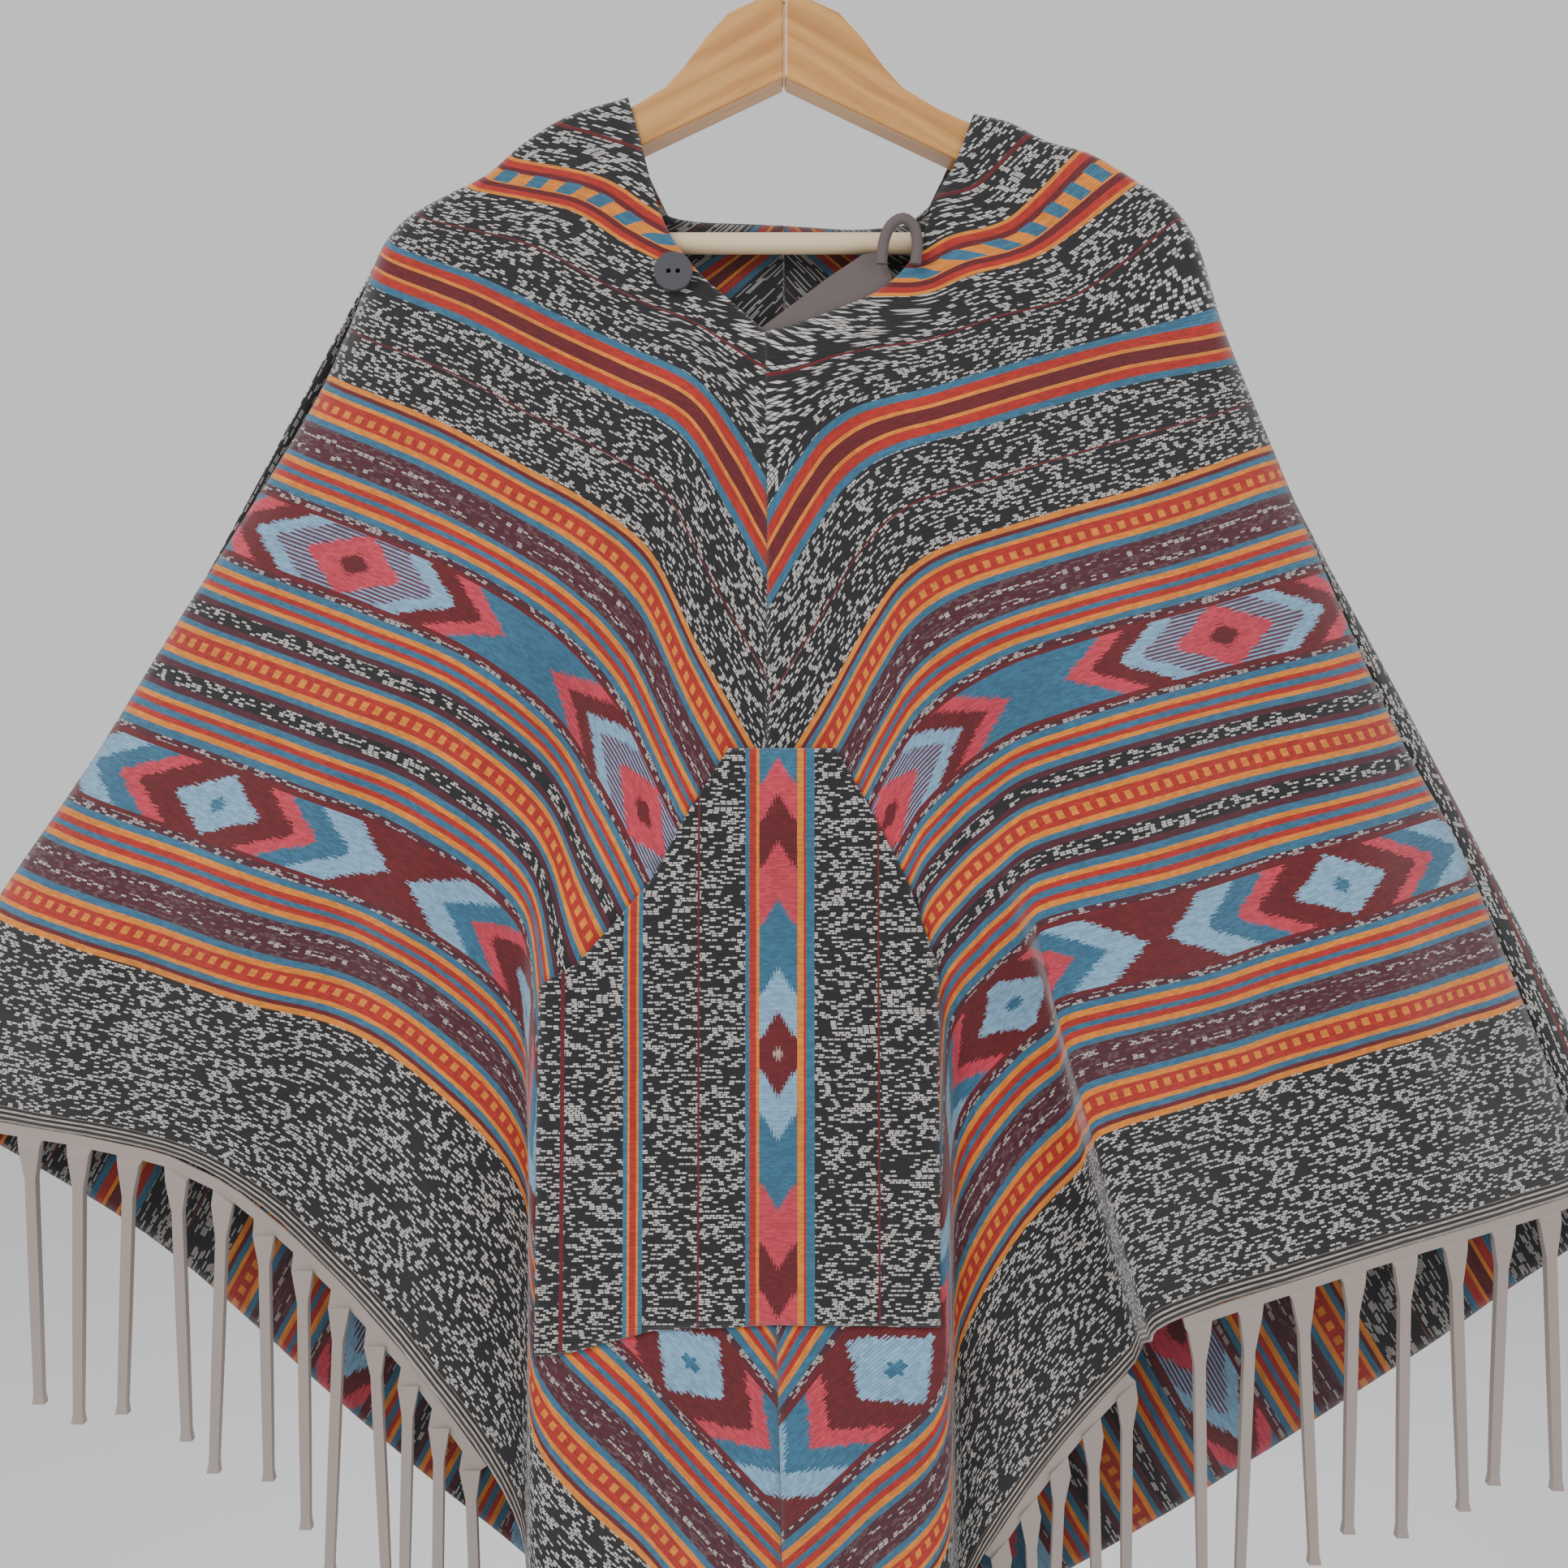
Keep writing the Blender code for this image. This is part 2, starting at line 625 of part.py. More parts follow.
def build_arm(name, side):
    """One mitred arm of the hanger, with the blind socket for the dowel."""
    build = bmesh.new()
    half = ARM_THICK / 2
    front = [build.verts.new(Vector((side * x, -half, z)) * MM) for x, z in ARM_OUTLINE]
    back = [build.verts.new(Vector((side * x, half, z)) * MM) for x, z in ARM_OUTLINE]
    build.faces.new(front)
    build.faces.new(back)
    for i in range(len(front)):
        j = (i + 1) % len(front)
        build.faces.new((front[i], front[j], back[j], back[i]))
    item = add_object(name, mesh_from(name, build), "wood")
    bevel = item.modifiers.new("Eased edges", "BEVEL")
    bevel.width = ARM_BEVEL * MM
    bevel.segments = 2
    bevel.limit_method = "ANGLE"
    bevel.angle_limit = math.radians(60)
    socket = cylinder("socket", (DOWEL_RADIUS + SOCKET_CLEAR) * MM, SOCKET_CUTTER_LENGTH * MM, DOWEL_SIDES)
    turn_across(socket)
    centre = DOWEL_HALF_LENGTH + SOCKET_CLEAR - SOCKET_CUTTER_LENGTH / 2
    cut(item, socket, (side * centre * MM, 0, DOWEL_Z * MM))


def build_hook():
    """The bent wire hook, whose inside top is the origin."""
    points = [Vector((0, 0, HOOK_FOOT_Z))]
    start = math.radians(HOOK_START_DEGREES)
    centre = Vector((0, 0, -HOOK_BEND + HOOK_RADIUS))
    first = centre + Vector((math.cos(start), 0, math.sin(start))) * HOOK_BEND
    stem_top = Vector((0, 0, first.z - HOOK_STEM_CLEAR))
    for step in range(1, HOOK_STEM_STEPS + 1):
        share = step / HOOK_STEM_STEPS
        level = HOOK_FOOT_Z + (stem_top.z - HOOK_FOOT_Z) * min(share * 2, 1)
        bend = max(share * 2 - 1, 0)
        points.append(Vector((first.x * bend**HOOK_LEAN, 0, level + (first.z - stem_top.z) * bend)))
    for step in range(1, HOOK_BEND_STEPS + 1):
        angle = start + math.radians(HOOK_END_DEGREES - HOOK_START_DEGREES) * step / HOOK_BEND_STEPS
        points.append(centre + Vector((math.cos(angle), 0, math.sin(angle))) * HOOK_BEND)
    tube("hanger_hook", [point * MM for point in points], HOOK_RADIUS * MM, "metal")


def build_dowel():
    """The rod between the arms."""
    mesh = cylinder("hanger_dowel", DOWEL_RADIUS * MM, 2 * DOWEL_HALF_LENGTH * MM, DOWEL_SIDES)
    turn_across(mesh)
    item = add_object("hanger_dowel", mesh, "dowel")
    item.location = (0, 0, DOWEL_Z * MM)


def build():
    """The whole object, piece by piece."""
    clear_scene()
    left = front_grid(FRONT_LEFT, SHOULDER_LEFT, -1)
    right = front_grid(FRONT_RIGHT, SHOULDER_RIGHT, 1)
    wall_object("front_left", left, "cloth")
    wall_object("front_right", right, "cloth")
    wall_object("back_left", back_grid(BACK_LEFT, SHOULDER_LEFT, -1), "reverse")
    wall_object("back_right", back_grid(BACK_RIGHT, SHOULDER_RIGHT, 1), "reverse")
    for side_name, side in (("left", -1), ("right", 1)):
        build_hood(side_name, side)
        build_arm(f"hanger_arm_{side_name}", side)
    surface = surface_of(left, right)
    build_pocket(surface)
    build_facing()
    build_button(surface)
    build_loop(surface)
    halves = {"left": left, "right": right}
    for name, half, first, last in FRINGES:
        build_fringe(name, halves[half], first, last)
    build_hook()
    build_dowel()


build()
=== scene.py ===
"""Looks of a hooded poncho of striped shawl cloth, hanging on a wooden hanger.

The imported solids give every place. Panels of cloth are thin shells lofted through
the same sections as their solids, with finer folds, and each carries a map in
metres of its cloth, so that stripes, diamonds and weave follow the cut.
"""

import logging
import math
from dataclasses import dataclass, field
from enum import Enum
from typing import Any, Callable, Sequence, Union

import bmesh
import bpy
import numpy as np
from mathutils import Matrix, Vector, noise
from mathutils.bvhtree import BVHTree


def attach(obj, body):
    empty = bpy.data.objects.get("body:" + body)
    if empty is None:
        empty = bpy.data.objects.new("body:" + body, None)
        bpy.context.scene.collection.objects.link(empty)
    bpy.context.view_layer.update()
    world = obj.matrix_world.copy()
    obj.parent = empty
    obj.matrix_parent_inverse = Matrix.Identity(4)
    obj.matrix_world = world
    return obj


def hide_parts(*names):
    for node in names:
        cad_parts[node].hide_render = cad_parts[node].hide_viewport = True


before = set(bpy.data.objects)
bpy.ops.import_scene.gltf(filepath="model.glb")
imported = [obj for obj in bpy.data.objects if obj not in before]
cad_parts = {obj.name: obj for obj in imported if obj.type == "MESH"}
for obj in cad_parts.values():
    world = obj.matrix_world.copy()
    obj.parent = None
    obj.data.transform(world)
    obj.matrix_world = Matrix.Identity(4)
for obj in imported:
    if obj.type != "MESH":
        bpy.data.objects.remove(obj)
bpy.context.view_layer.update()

logging.basicConfig(level=logging.INFO, format="%(message)s")
log = logging.getLogger("poncho")

MM = 0.001
BODY = "root"
Colour = tuple[float, float, float]
Point3 = tuple[float, float, float]

# Yarn colours, linear light
BLACK: Colour = (0.012, 0.011, 0.013)
CREAM: Colour = (0.55, 0.52, 0.49)
BEIGE: Colour = (0.42, 0.35, 0.29)
RED: Colour = (0.42, 0.022, 0.012)
DARK_RED: Colour = (0.13, 0.008, 0.012)
MAROON: Colour = (0.075, 0.012, 0.022)
ORANGE: Colour = (0.72, 0.22, 0.02)
BLUE: Colour = (0.035, 0.14, 0.235)
LIGHT_BLUE: Colour = (0.22, 0.4, 0.56)
PINK: Colour = (0.56, 0.045, 0.075)
PLUM: Colour = (0.12, 0.03, 0.06)


class Facing(Enum):
    """Which side of the garment a panel belongs to, as the sign of its outward Y."""

    FRONT = -1
    BACK = 1


class Slot(Enum):
    """The record's material slots."""

    CLOTH = "shawl_cloth"
    YARN = "fringe_yarn"
    BUTTON = "button"
    PINE = "varnished_pine"
    ROD = "pale_wood"
    WIRE = "hook_wire"


@dataclass(frozen=True)
class Section:
    """One line across a panel, from its side seam to its centre seam.

    Args:
        hem: Distance from the hem along the cloth, in millimetres.
        points: Points x, z, y of the line, in millimetres.
    """

    hem: float
    points: tuple[Point3, ...]


@dataclass(frozen=True)
class Fold:
    """A soft ridge or trough in a panel.

    Args:
        start: Its upper end, x and z, in millimetres.
        end: Its lower end, x and z, in millimetres.
        width: Half its width, in millimetres.
        rise: How far it stands out of the cloth, negative for a trough.
    """

    start: tuple[float, float]
    end: tuple[float, float]
    width: float
    rise: float


SHOULDER_LEFT = ((-117, -131), (-143, -147), (-161, -162), (-187, -175), (-205, -186))
SHOULDER_RIGHT = ((121, -134), (143, -145), (165, -151), (191, -166), (209, -178), (223, -198))

# Points: edge, wrap, ridge, hollow, under, fold, middle, seam
FRONT_LEFT = (
    Section(647, ((-84, -121, -0.7), (-83, -125, -11.6), (-75, -154, -12), (-69, -177, -12),
                  (-62, -195, -12), (-45, -218, -12), (-27, -234, -12), (-10, -249, -12))),
    Section(516, ((-215, -198, -1.3), (-209, -204, -11.6), (-162, -222, -13.5), (-119, -243, -14),
                  (-84, -259, -14), (-47, -277, -14.5), (-26, -303, -15.5), (-9, -333, -17.5))),
    Section(430, ((-247, -272, -1.3), (-236, -278, -9), (-183, -301, -17), (-140, -324, -18),
                  (-104, -344, -19), (-73, -369, -19.3), (-45, -424, -21.8), (-9, -488, -24.8))),
    Section(269, ((-333, -412, -1.3), (-318, -418, -9), (-243, -445, -22), (-186, -467, -26),
                  (-129, -514, -26), (-108, -565, -29), (-65, -641, -32.7), (-5, -740, -37.8))),
    Section(196, ((-375, -480, -1.3), (-358, -486, -10), (-272, -515, -26), (-208, -540, -26),
                  (-138, -602, -18), (-130, -699, -36), (-69, -773, -40), (-2, -844, -45.7))),
    Section(101, ((-432, -564, -1.3), (-412, -571, -11), (-297, -605, -28), (-221, -630, -22),
                  (-136, -727, -16), (-131, -826, -43), (-69, -900, -46.5), (0, -980, -47))),
    Section(0, ((-485, -659, -1.3), (-462, -664, -12), (-326, -684, -30), (-230, -760, -20),
                (-138, -899, -16), (-129, -988, -46), (-69, -1049, -46), (0, -1126, -45))),
)
FRONT_LEFT_NECK = (647, 645, 618, 603, 590, 571, 561, 554)

# Points: edge, wrap, outer, front, crease, behind, valley, under, fold, middle, seam
FRONT_RIGHT = (
    Section(652, ((103, -130, -0.7), (101, -134, -11.6), (91, -160, -12), (80, -179, -12),
                  (73, -202, -12), (66, -213, -12), (56, -223, -12), (45, -230, -12),
                  (28, -237, -12), (9, -244, -12), (-10, -249, -12))),
    Section(516, ((235, -238, -1.3), (228, -241, -11.6), (175, -254, -14), (127, -267, -14.5),
                  (93, -277, -14.5), (76, -282, -15), (58, -286, -15), (41, -291, -15),
                  (24, -301, -15.5), (7, -322, -16.8), (-9, -350, -18.4))),
    Section(430, ((264, -310, -1.3), (253, -314, -9), (201, -333, -18), (153, -347, -20),
                  (116, -358, -22), (96, -364, -22), (79, -371, -21), (62, -384, -20.5),
                  (46, -407, -21), (23, -448, -23), (-9, -499, -25.3))),
    Section(269, ((331, -462, -1.3), (316, -466, -9), (255, -479, -24), (194, -495, -30),
                  (125, -517, -36), (111, -529, -31), (94, -545, -28), (76, -568, -27),
                  (70, -591, -30), (36, -657, -33.5), (-5, -748, -38.3))),
    Section(196, ((366, -527, -1.3), (350, -531, -10), (293, -547, -28), (218, -569, -38),
                  (136, -588, -50), (137, -597, -28), (119, -614, -18), (90, -655, -16),
                  (83, -769, -40), (40, -813, -43.3), (-2, -853, -46))),
    Section(101, ((401, -613, -1.3), (384, -617, -11), (322, -630, -30), (242, -653, -42),
                  (160, -676, -56), (161, -692, -24), (128, -731, -16), (91, -809, -14),
                  (85, -885, -45), (44, -938, -46.7), (0, -984, -47))),
    Section(0, ((438, -707, -1.3), (420, -711, -12), (356, -724, -30), (271, -746, -42),
                (188, -772, -56), (189, -791, -22), (149, -841, -16), (93, -933, -14),
                (83, -1009, -46), (44, -1068, -46), (0, -1128, -45))),
)
FRONT_RIGHT_NECK = (652, 650, 634, 618, 601, 590, 579, 572, 565, 559, 554)

# Points: edge, wrap, outer, inner, middle, seam
BACK_LEFT = (
    Section(647, ((-84, -121, 0.7), (-83, -125, 11.6), (-75, -154, 12), (-62, -180, 12),
                  (-30, -184, 12), (0, -185, 12))),
    Section(516, ((-215, -198, 1.2), (-209, -204, 11.6), (-165, -225, 13), (-105, -262, 14),
                  (-50, -300, 14), (0, -335, 14))),
    Section(269, ((-333, -412, 1.2), (-318, -420, 9), (-250, -462, 20), (-160, -535, 20),
                  (-75, -620, 18), (0, -700, 18))),
    Section(101, ((-432, -564, 1.2), (-412, -574, 9), (-320, -632, 24), (-205, -728, 17),
                  (-95, -840, 25), (0, -930, 20))),
    Section(0, ((-485, -659, 1.2), (-462, -672, 10), (-354, -742, 26), (-229, -845, 16),
                (-112, -948, 27), (0, -1054, 20))),
)
BACK_LEFT_NECK = (647, 645, 622, 600, 590, 585)

BACK_RIGHT = (
    Section(652, ((103, -130, 0.7), (101, -134, 11.6), (91, -158, 12), (76, -182, 12),
                  (38, -187, 12), (0, -185, 12))),
    Section(516, ((235, -238, 1.2), (230, -243, 11.6), (180, -262, 13), (112, -285, 14),
                  (52, -310, 14), (0, -335, 14))),
    Section(269, ((331, -462, 1.2), (346, -463, 7), (262, -500, 20), (165, -560, 20),
                  (78, -630, 18), (0, -700, 18))),
    Section(101, ((401, -613, 1.2), (424, -614, 8), (330, -670, 22), (205, -760, 17),
                  (95, -850, 25), (0, -930, 20))),
    Section(0, ((438, -707, 1.2), (470, -716, 8), (385, -784, 24), (238, -876, 16),
                (110, -960, 27), (0, -1054, 20))),
)
BACK_RIGHT_NECK = (652, 650, 630, 602, 590, 585)

# Centre front seam: z, x, y
FRONT_SEAM = (
    (-1127, 0, -45), (-982, 0, -47), (-848, -2, -46), (-744, -5, -38),
    (-493, -9, -25), (-341, -9, -18), (-249, -10, -12),
)

FOLDS_FRONT_LEFT = (
    Fold((-117, -430), (-112, -590), 16, -7),
    Fold((-150, -440), (-214, -585), 15, 4),
    Fold((-168, -330), (-262, -560), 24, 3),
    Fold((-300, -470), (-372, -640), 26, -5),
    Fold((-232, -560), (-262, -720), 20, -6),
    Fold((-186, -620), (-176, -830), 18, 5),
    Fold((-355, -560), (-395, -672), 18, 4),
    Fold((-60, -250), (-92, -420), 22, 3),
    Fold((-120, -160), (-96, -235), 12, 2),
    Fold((-30, -520), (-96, -640), 16, 2.5),
    Fold((-70, -860), (-76, -1040), 16, -2.5),
)
FOLDS_FRONT_RIGHT = (
    Fold((150, -330), (196, -600), 26, 4),
    Fold((246, -420), (262, -720), 24, -5),
    Fold((300, -480), (352, -720), 24, 4),
    Fold((92, -420), (98, -560), 14, -5),
    Fold((52, -330), (44, -470), 18, 2.5),
    Fold((140, -160), (128, -240), 14, 2),
    Fold((132, -690), (146, -830), 14, 4),
    Fold((214, -600), (226, -760), 16, -4),
    Fold((46, -860), (52, -1040), 14, -2),
)
FOLDS_BACK_LEFT = (
    Fold((-130, -330), (-190, -720), 30, 6),
    Fold((-250, -430), (-330, -700), 26, -5),
    Fold((-60, -540), (-80, -930), 26, -6),
    Fold((-180, -250), (-230, -430), 22, 3),
)
FOLDS_BACK_RIGHT = (
    Fold((120, -340), (170, -760), 30, 6),
    Fold((250, -430), (330, -720), 26, -5),
    Fold((60, -560), (70, -940), 24, -5),
    Fold((180, -260), (240, -420), 22, 3),
)


def smooth_through(values: np.ndarray, places: np.ndarray) -> np.ndarray:
    """A smooth curve through evenly spaced values that never overshoots them.

    Args:
        values: Values along the first axis.
        places: Places counted in values, fractions included.

    Returns:
        The curve's values at the places.
    """
    steps = np.diff(values, axis=0)
    before = np.concatenate([steps[:1], steps])
    after = np.concatenate([steps, steps[-1:]])
    product, total = before * after, before + after
    slope = np.where(product > 0, 2 * product / np.where(total == 0, 1, total), 0)
    index = np.clip(places.astype(int), 0, len(values) - 2)
    share = (places - index).reshape((-1,) + (1,) * (values.ndim - 1))
    square, cube = share**2, share**3
    return (
        (2 * cube - 3 * square + 1) * values[index]
        + (cube - 2 * square + share) * slope[index]
        + (3 * square - 2 * cube) * values[index + 1]
        + (cube - square) * slope[index + 1]
    )


def fine_places(lengths: Sequence[float], pitch: float) -> np.ndarray:
    """Places along a line of stretches, close to one pitch apart.

    Args:
        lengths: The stretches' lengths.
        pitch: The distance wanted between places.

    Returns:
        Places counted in stretches, from 0 to their number.
    """
    found = [0.0]
    for number, length in enumerate(lengths):
        parts = max(1, round(length / pitch))
        found.extend(number + (part + 1) / parts for part in range(parts))
    return np.array(found)


def ripple(points: np.ndarray, scale: float, seed: float) -> np.ndarray:
    """Gentle seeded noise at points, about -1 to 1.

    Args:
        points: Points in millimetres.
        scale: The noise's wavelength, in millimetres.
        seed: Where in the noise to read.

    Returns:
        One value a point.
    """
    flat = points.reshape(-1, 3) / scale
    values = [noise.noise(Vector((p[0] + seed, p[1], p[2]))) for p in flat]
    return np.array(values).reshape(points.shape[:-1])


def grid_normals(grid: np.ndarray) -> np.ndarray:
    """Unit directions out of a grid of points, by its rows and columns."""
    down = np.gradient(grid, axis=0)
    across = np.gradient(grid, axis=1)
    normal = np.cross(down, across)
    return normal / np.maximum(np.linalg.norm(normal, axis=2, keepdims=True), 1e-9)


class Value:
    """A shader socket that takes part in sums."""

    def __init__(self, graph: "Graph", socket: bpy.types.NodeSocket) -> None:
        """Wrap a socket of a graph."""
        self.graph = graph
        self.socket = socket

    def _maths(self, operation: str, *others: Any) -> "Value":
        """Add a Math node on this value and others."""
        return self.graph.maths(operation, self, *others)

    def __add__(self, other: Any) -> "Value":
        """Sum."""
        return self._maths("ADD", other)

    __radd__ = __add__

    def __mul__(self, other: Any) -> "Value":
        """Product."""
        return self._maths("MULTIPLY", other)

    __rmul__ = __mul__

    def __sub__(self, other: Any) -> "Value":
        """Difference."""
        return self._maths("SUBTRACT", other)

    def __rsub__(self, other: Any) -> "Value":
        """Difference from a number."""
        return self.graph.maths("SUBTRACT", other, self)

    def __truediv__(self, other: Any) -> "Value":
        """Quotient."""
        return self._maths("DIVIDE", other)

    def below(self, other: Any) -> "Value":
        """1 where this is less than the other."""
        return self._maths("LESS_THAN", other)

    def above(self, other: Any) -> "Value":
        """1 where this is more than the other."""
        return self._maths("GREATER_THAN", other)

    def floor(self) -> "Value":
        """Whole part."""
        return self._maths("FLOOR")

    def fraction(self) -> "Value":
        """Part after the point."""
        return self._maths("FRACT")

    def size(self) -> "Value":
        """Distance from nought."""
        return self._maths("ABSOLUTE")

    def wave(self) -> "Value":
        """Sine."""
        return self._maths("SINE")

    def folded(self, period: float) -> "Value":
        """Distance to the nearest multiple of a period."""
        turned = (self / period + 0.5).fraction() - 0.5
        return turned.size() * period


Input = Union[Value, float, int, tuple]


class Graph:
    """A material's node tree, written as sums and named finishes."""

    def __init__(self, name: str, **constants: Any) -> None:
        """Make a material with a Principled shader.

        Args:
            name: The material's name.
            constants: Shader sockets, by name with underscores, and their values.
        """
        self.material = bpy.data.materials.new(name)
        self.material.use_nodes = True
        self.tree = self.material.node_tree
        self.shader = self.tree.nodes["Principled BSDF"]
        for key, value in constants.items():
            self.shader.inputs[key.replace("_", " ")].default_value = value

    def node(self, kind: str, settings: dict[str, Any], inputs: dict[Any, Input]) -> bpy.types.Node:
        """Add a node.

        Args:
            kind: The node's type.
            settings: Its own settings, set first.
            inputs: Values or links for its sockets, by name or number.

        Returns:
            The node.
        """
        made = self.tree.nodes.new(kind)
        stops = settings.pop("stops", None)
        for key, value in settings.items():
            setattr(made, key, value)
        if stops is not None:
            set_stops(made.color_ramp, stops)
        for key, value in inputs.items():
            if isinstance(value, Value):
                self.tree.links.new(value.socket, made.inputs[key])
            else:
                made.inputs[key].default_value = value
        return made

    def maths(self, operation: str, *inputs: Any) -> Value:
        """Add a Math node."""
        made = self.node("ShaderNodeMath", {"operation": operation}, dict(enumerate(inputs)))
        return Value(self, made.outputs[0])

    def vector(self, x: Any, y: Any, z: Any = 0.0) -> Value:
        """Three values as a vector."""
        made = self.node("ShaderNodeCombineXYZ", {}, {"X": x, "Y": y, "Z": z})
        return Value(self, made.outputs[0])

    def parts(self, vector: Value) -> tuple[Value, Value, Value]:
        """A vector's three values."""
        made = self.node("ShaderNodeSeparateXYZ", {}, {0: vector})
        return tuple(Value(self, made.outputs[k]) for k in range(3))

    def cloth_place(self) -> tuple[Value, Value]:
        """Millimetres along the stripes and across them, from the cloth's own map."""
        made = self.node("ShaderNodeUVMap", {"uv_map": "cloth"}, {})
        x, y, _ = self.parts(Value(self, made.outputs[0]))
        return x * 1000.0, y * 1000.0

    def object_place(self) -> Value:
        """The point on the piece, in metres."""
        return Value(self, self.node("ShaderNodeTexCoord", {}, {}).outputs["Object"])

    def attribute(self, name: str) -> Value:
        """A piece's own attribute."""
        made = self.node("ShaderNodeAttribute", {"attribute_name": name}, {})
        return Value(self, made.outputs["Fac"])

    def random(self, x: Any, y: Any = 0.0) -> Value:
        """An even random value for each pair of whole numbers."""
        made = self.node("ShaderNodeTexWhiteNoise", {"noise_dimensions": "2D"}, {"Vector": self.vector(x, y)})
        return Value(self, made.outputs["Value"])

    def clouds(self, vector: Value, scale: float, detail: float = 2.0) -> Value:
        """Soft noise from 0 to 1."""
        made = self.node("ShaderNodeTexNoise", {}, {"Vector": vector, "Scale": scale, "Detail": detail})
        return Value(self, made.outputs[0])

    def stripes(self, place: Value, stops: Sequence[tuple], soft: bool = False) -> tuple[Value, Value]:
        """Colours, and a fourth value beside them, along a place from 0 to 1.

        Args:
            place: The place.
            stops: Start, colour and fourth value of each stripe.
            soft: Whether the colours run into each other.

        Returns:
            The colour and the fourth value.
        """
        made = self.node("ShaderNodeValToRGB", {"stops": (stops, soft)}, {0: place})
        return Value(self, made.outputs[0]), Value(self, made.outputs[1])

    def mix(self, share: Input, first: Input, second: Input, blend: str = "MIX") -> Value:
        """Mix two colours by a share."""
        settings = {"data_type": "RGBA", "blend_type": blend, "clamp_result": False}
        pick = [c if isinstance(c, Value) else (*c, 1.0) for c in (first, second)]
        made = self.node("ShaderNodeMix", settings, {0: share, 6: pick[0], 7: pick[1]})
        return Value(self, made.outputs[2])

    def dimmed(self, colour: Value, by: Value) -> Value:
        """A colour made lighter or darker by a factor."""
        made = self.node("ShaderNodeVectorMath", {"operation": "SCALE"}, {0: colour, "Scale": by})
        return Value(self, made.outputs[0])

    def bump(self, height: Value, strength: float, distance: float) -> Value:
        """A normal from a height."""
        inputs = {"Height": height, "Strength": strength, "Distance": distance}
        return Value(self, self.node("ShaderNodeBump", {}, inputs).outputs[0])

    def finish(self, **inputs: Value) -> bpy.types.Material:
        """Link what varies to the shader, by socket name with underscores."""
        for key, value in inputs.items():
            self.tree.links.new(value.socket, self.shader.inputs[key.replace("_", " ")])
        return self.material


def set_stops(ramp: bpy.types.ColorRamp, wanted: tuple) -> None:
    """Fill a colour ramp.

    Args:
        ramp: The ramp.
        wanted: Its stops, each a start, a colour and a fourth value, and whether they run together.
    """
    stops, soft = wanted
    ramp.interpolation = "LINEAR" if soft else "CONSTANT"
    while len(ramp.elements) < len(stops):
        ramp.elements.new(1.0)
    for element, (start, colour, beside) in zip(ramp.elements, sorted(stops)):
        element.position = start
    for element, (start, colour, beside) in zip(ramp.elements, sorted(stops)):
        element.color = (*colour, beside)


# Stripes across the cloth, in chart steps of 0.44 mm from the neck edge: start, colour, speckle
STEP = 0.44
TOP_STRIPES = (
    (-60, BLACK, 1.0), (-36, ORANGE, 0.0), (-31, BLACK, 1.0), (38, DARK_RED, 0.0), (42, BLACK, 1.0),
    (92, ORANGE, 0.0), (98, RED, 0.0), (106, DARK_RED, 0.0), (113, ORANGE, 0.0), (131, DARK_RED, 0.0),
    (138, RED, 0.0), (145, ORANGE, 0.0), (150, BLACK, 1.0), (208, DARK_RED, 0.0), (211, BLACK, 1.0),
    (272, BLUE, 0.0), (281, RED, 0.0), (292, ORANGE, 0.0), (297, DARK_RED, 0.0), (312, ORANGE, 0.0),
    (317, RED, 0.0), (328, BLUE, 0.0), (338, BLACK, 1.0), (400, DARK_RED, 0.0), (403, BLACK, 1.0),
)
TOP_SPAN = (-60.0, 520.0)
CHECK_ROWS = (113.0, 131.0)
CHECK_REPEAT = 33.0
WIDE_START = 466.0
WIDE_CENTRE = 833.0
WIDE_REACH = 380.0
WIDE_UPPER_SCALE = 1.0385
# Steps from the middle of the wide band outwards
INNER_STRIPES = (
    (0, RED, 0.0), (12, ORANGE, 0.0), (19, BLUE, 0.0), (26, MAROON, 0.0), (34, BLACK, 1.0), (52, MAROON, 0.0),
    (60, BLUE, 0.0), (68, ORANGE, 0.0), (74, RED, 0.0), (80, BLUE, 0.0), (88, RED, 0.0), (94, ORANGE, 0.0),
    (101, BLUE, 0.0), (110, MAROON, 0.8), (117, DARK_RED, 0.0), (124, DARK_RED, 0.0),
)
OUTER_STRIPES = (
    (124, DARK_RED, 0.0), (206, DARK_RED, 0.0), (211, MAROON, 0.8), (219, BLUE, 0.0), (228, ORANGE, 0.0),
    (236, RED, 0.0), (243, BLUE, 0.0), (250, RED, 0.0), (257, ORANGE, 0.0), (265, BLUE, 0.0), (271, MAROON, 0.1),
    (279, MAROON, 0.9), (285, MAROON, 0.1), (297, MAROON, 0.9), (304, MAROON, 0.1), (314, BLUE, 0.0),
    (323, ORANGE, 0.0), (330, RED, 0.0), (354, ORANGE, 0.0), (360, BLUE, 0.0), (367, DARK_RED, 0.0),
    (373, ORANGE, 0.0), (380, BLACK, 1.0),
)
INNER_SPAN = (0.0, 124.0)
OUTER_SPAN = (124.0, 400.0)
SQUARE_ROWS = ((0.0, 5.5), (341.0, 5.0))
SQUARE_REPEAT = 17.0
IKAT_SPAN = (124.0, 206.0)
IKAT_MIDDLE = 165.0
IKAT_HALF_REPEAT = 240.0
IKAT_SLOPE = 1.5
IKAT_REACH = 320.0
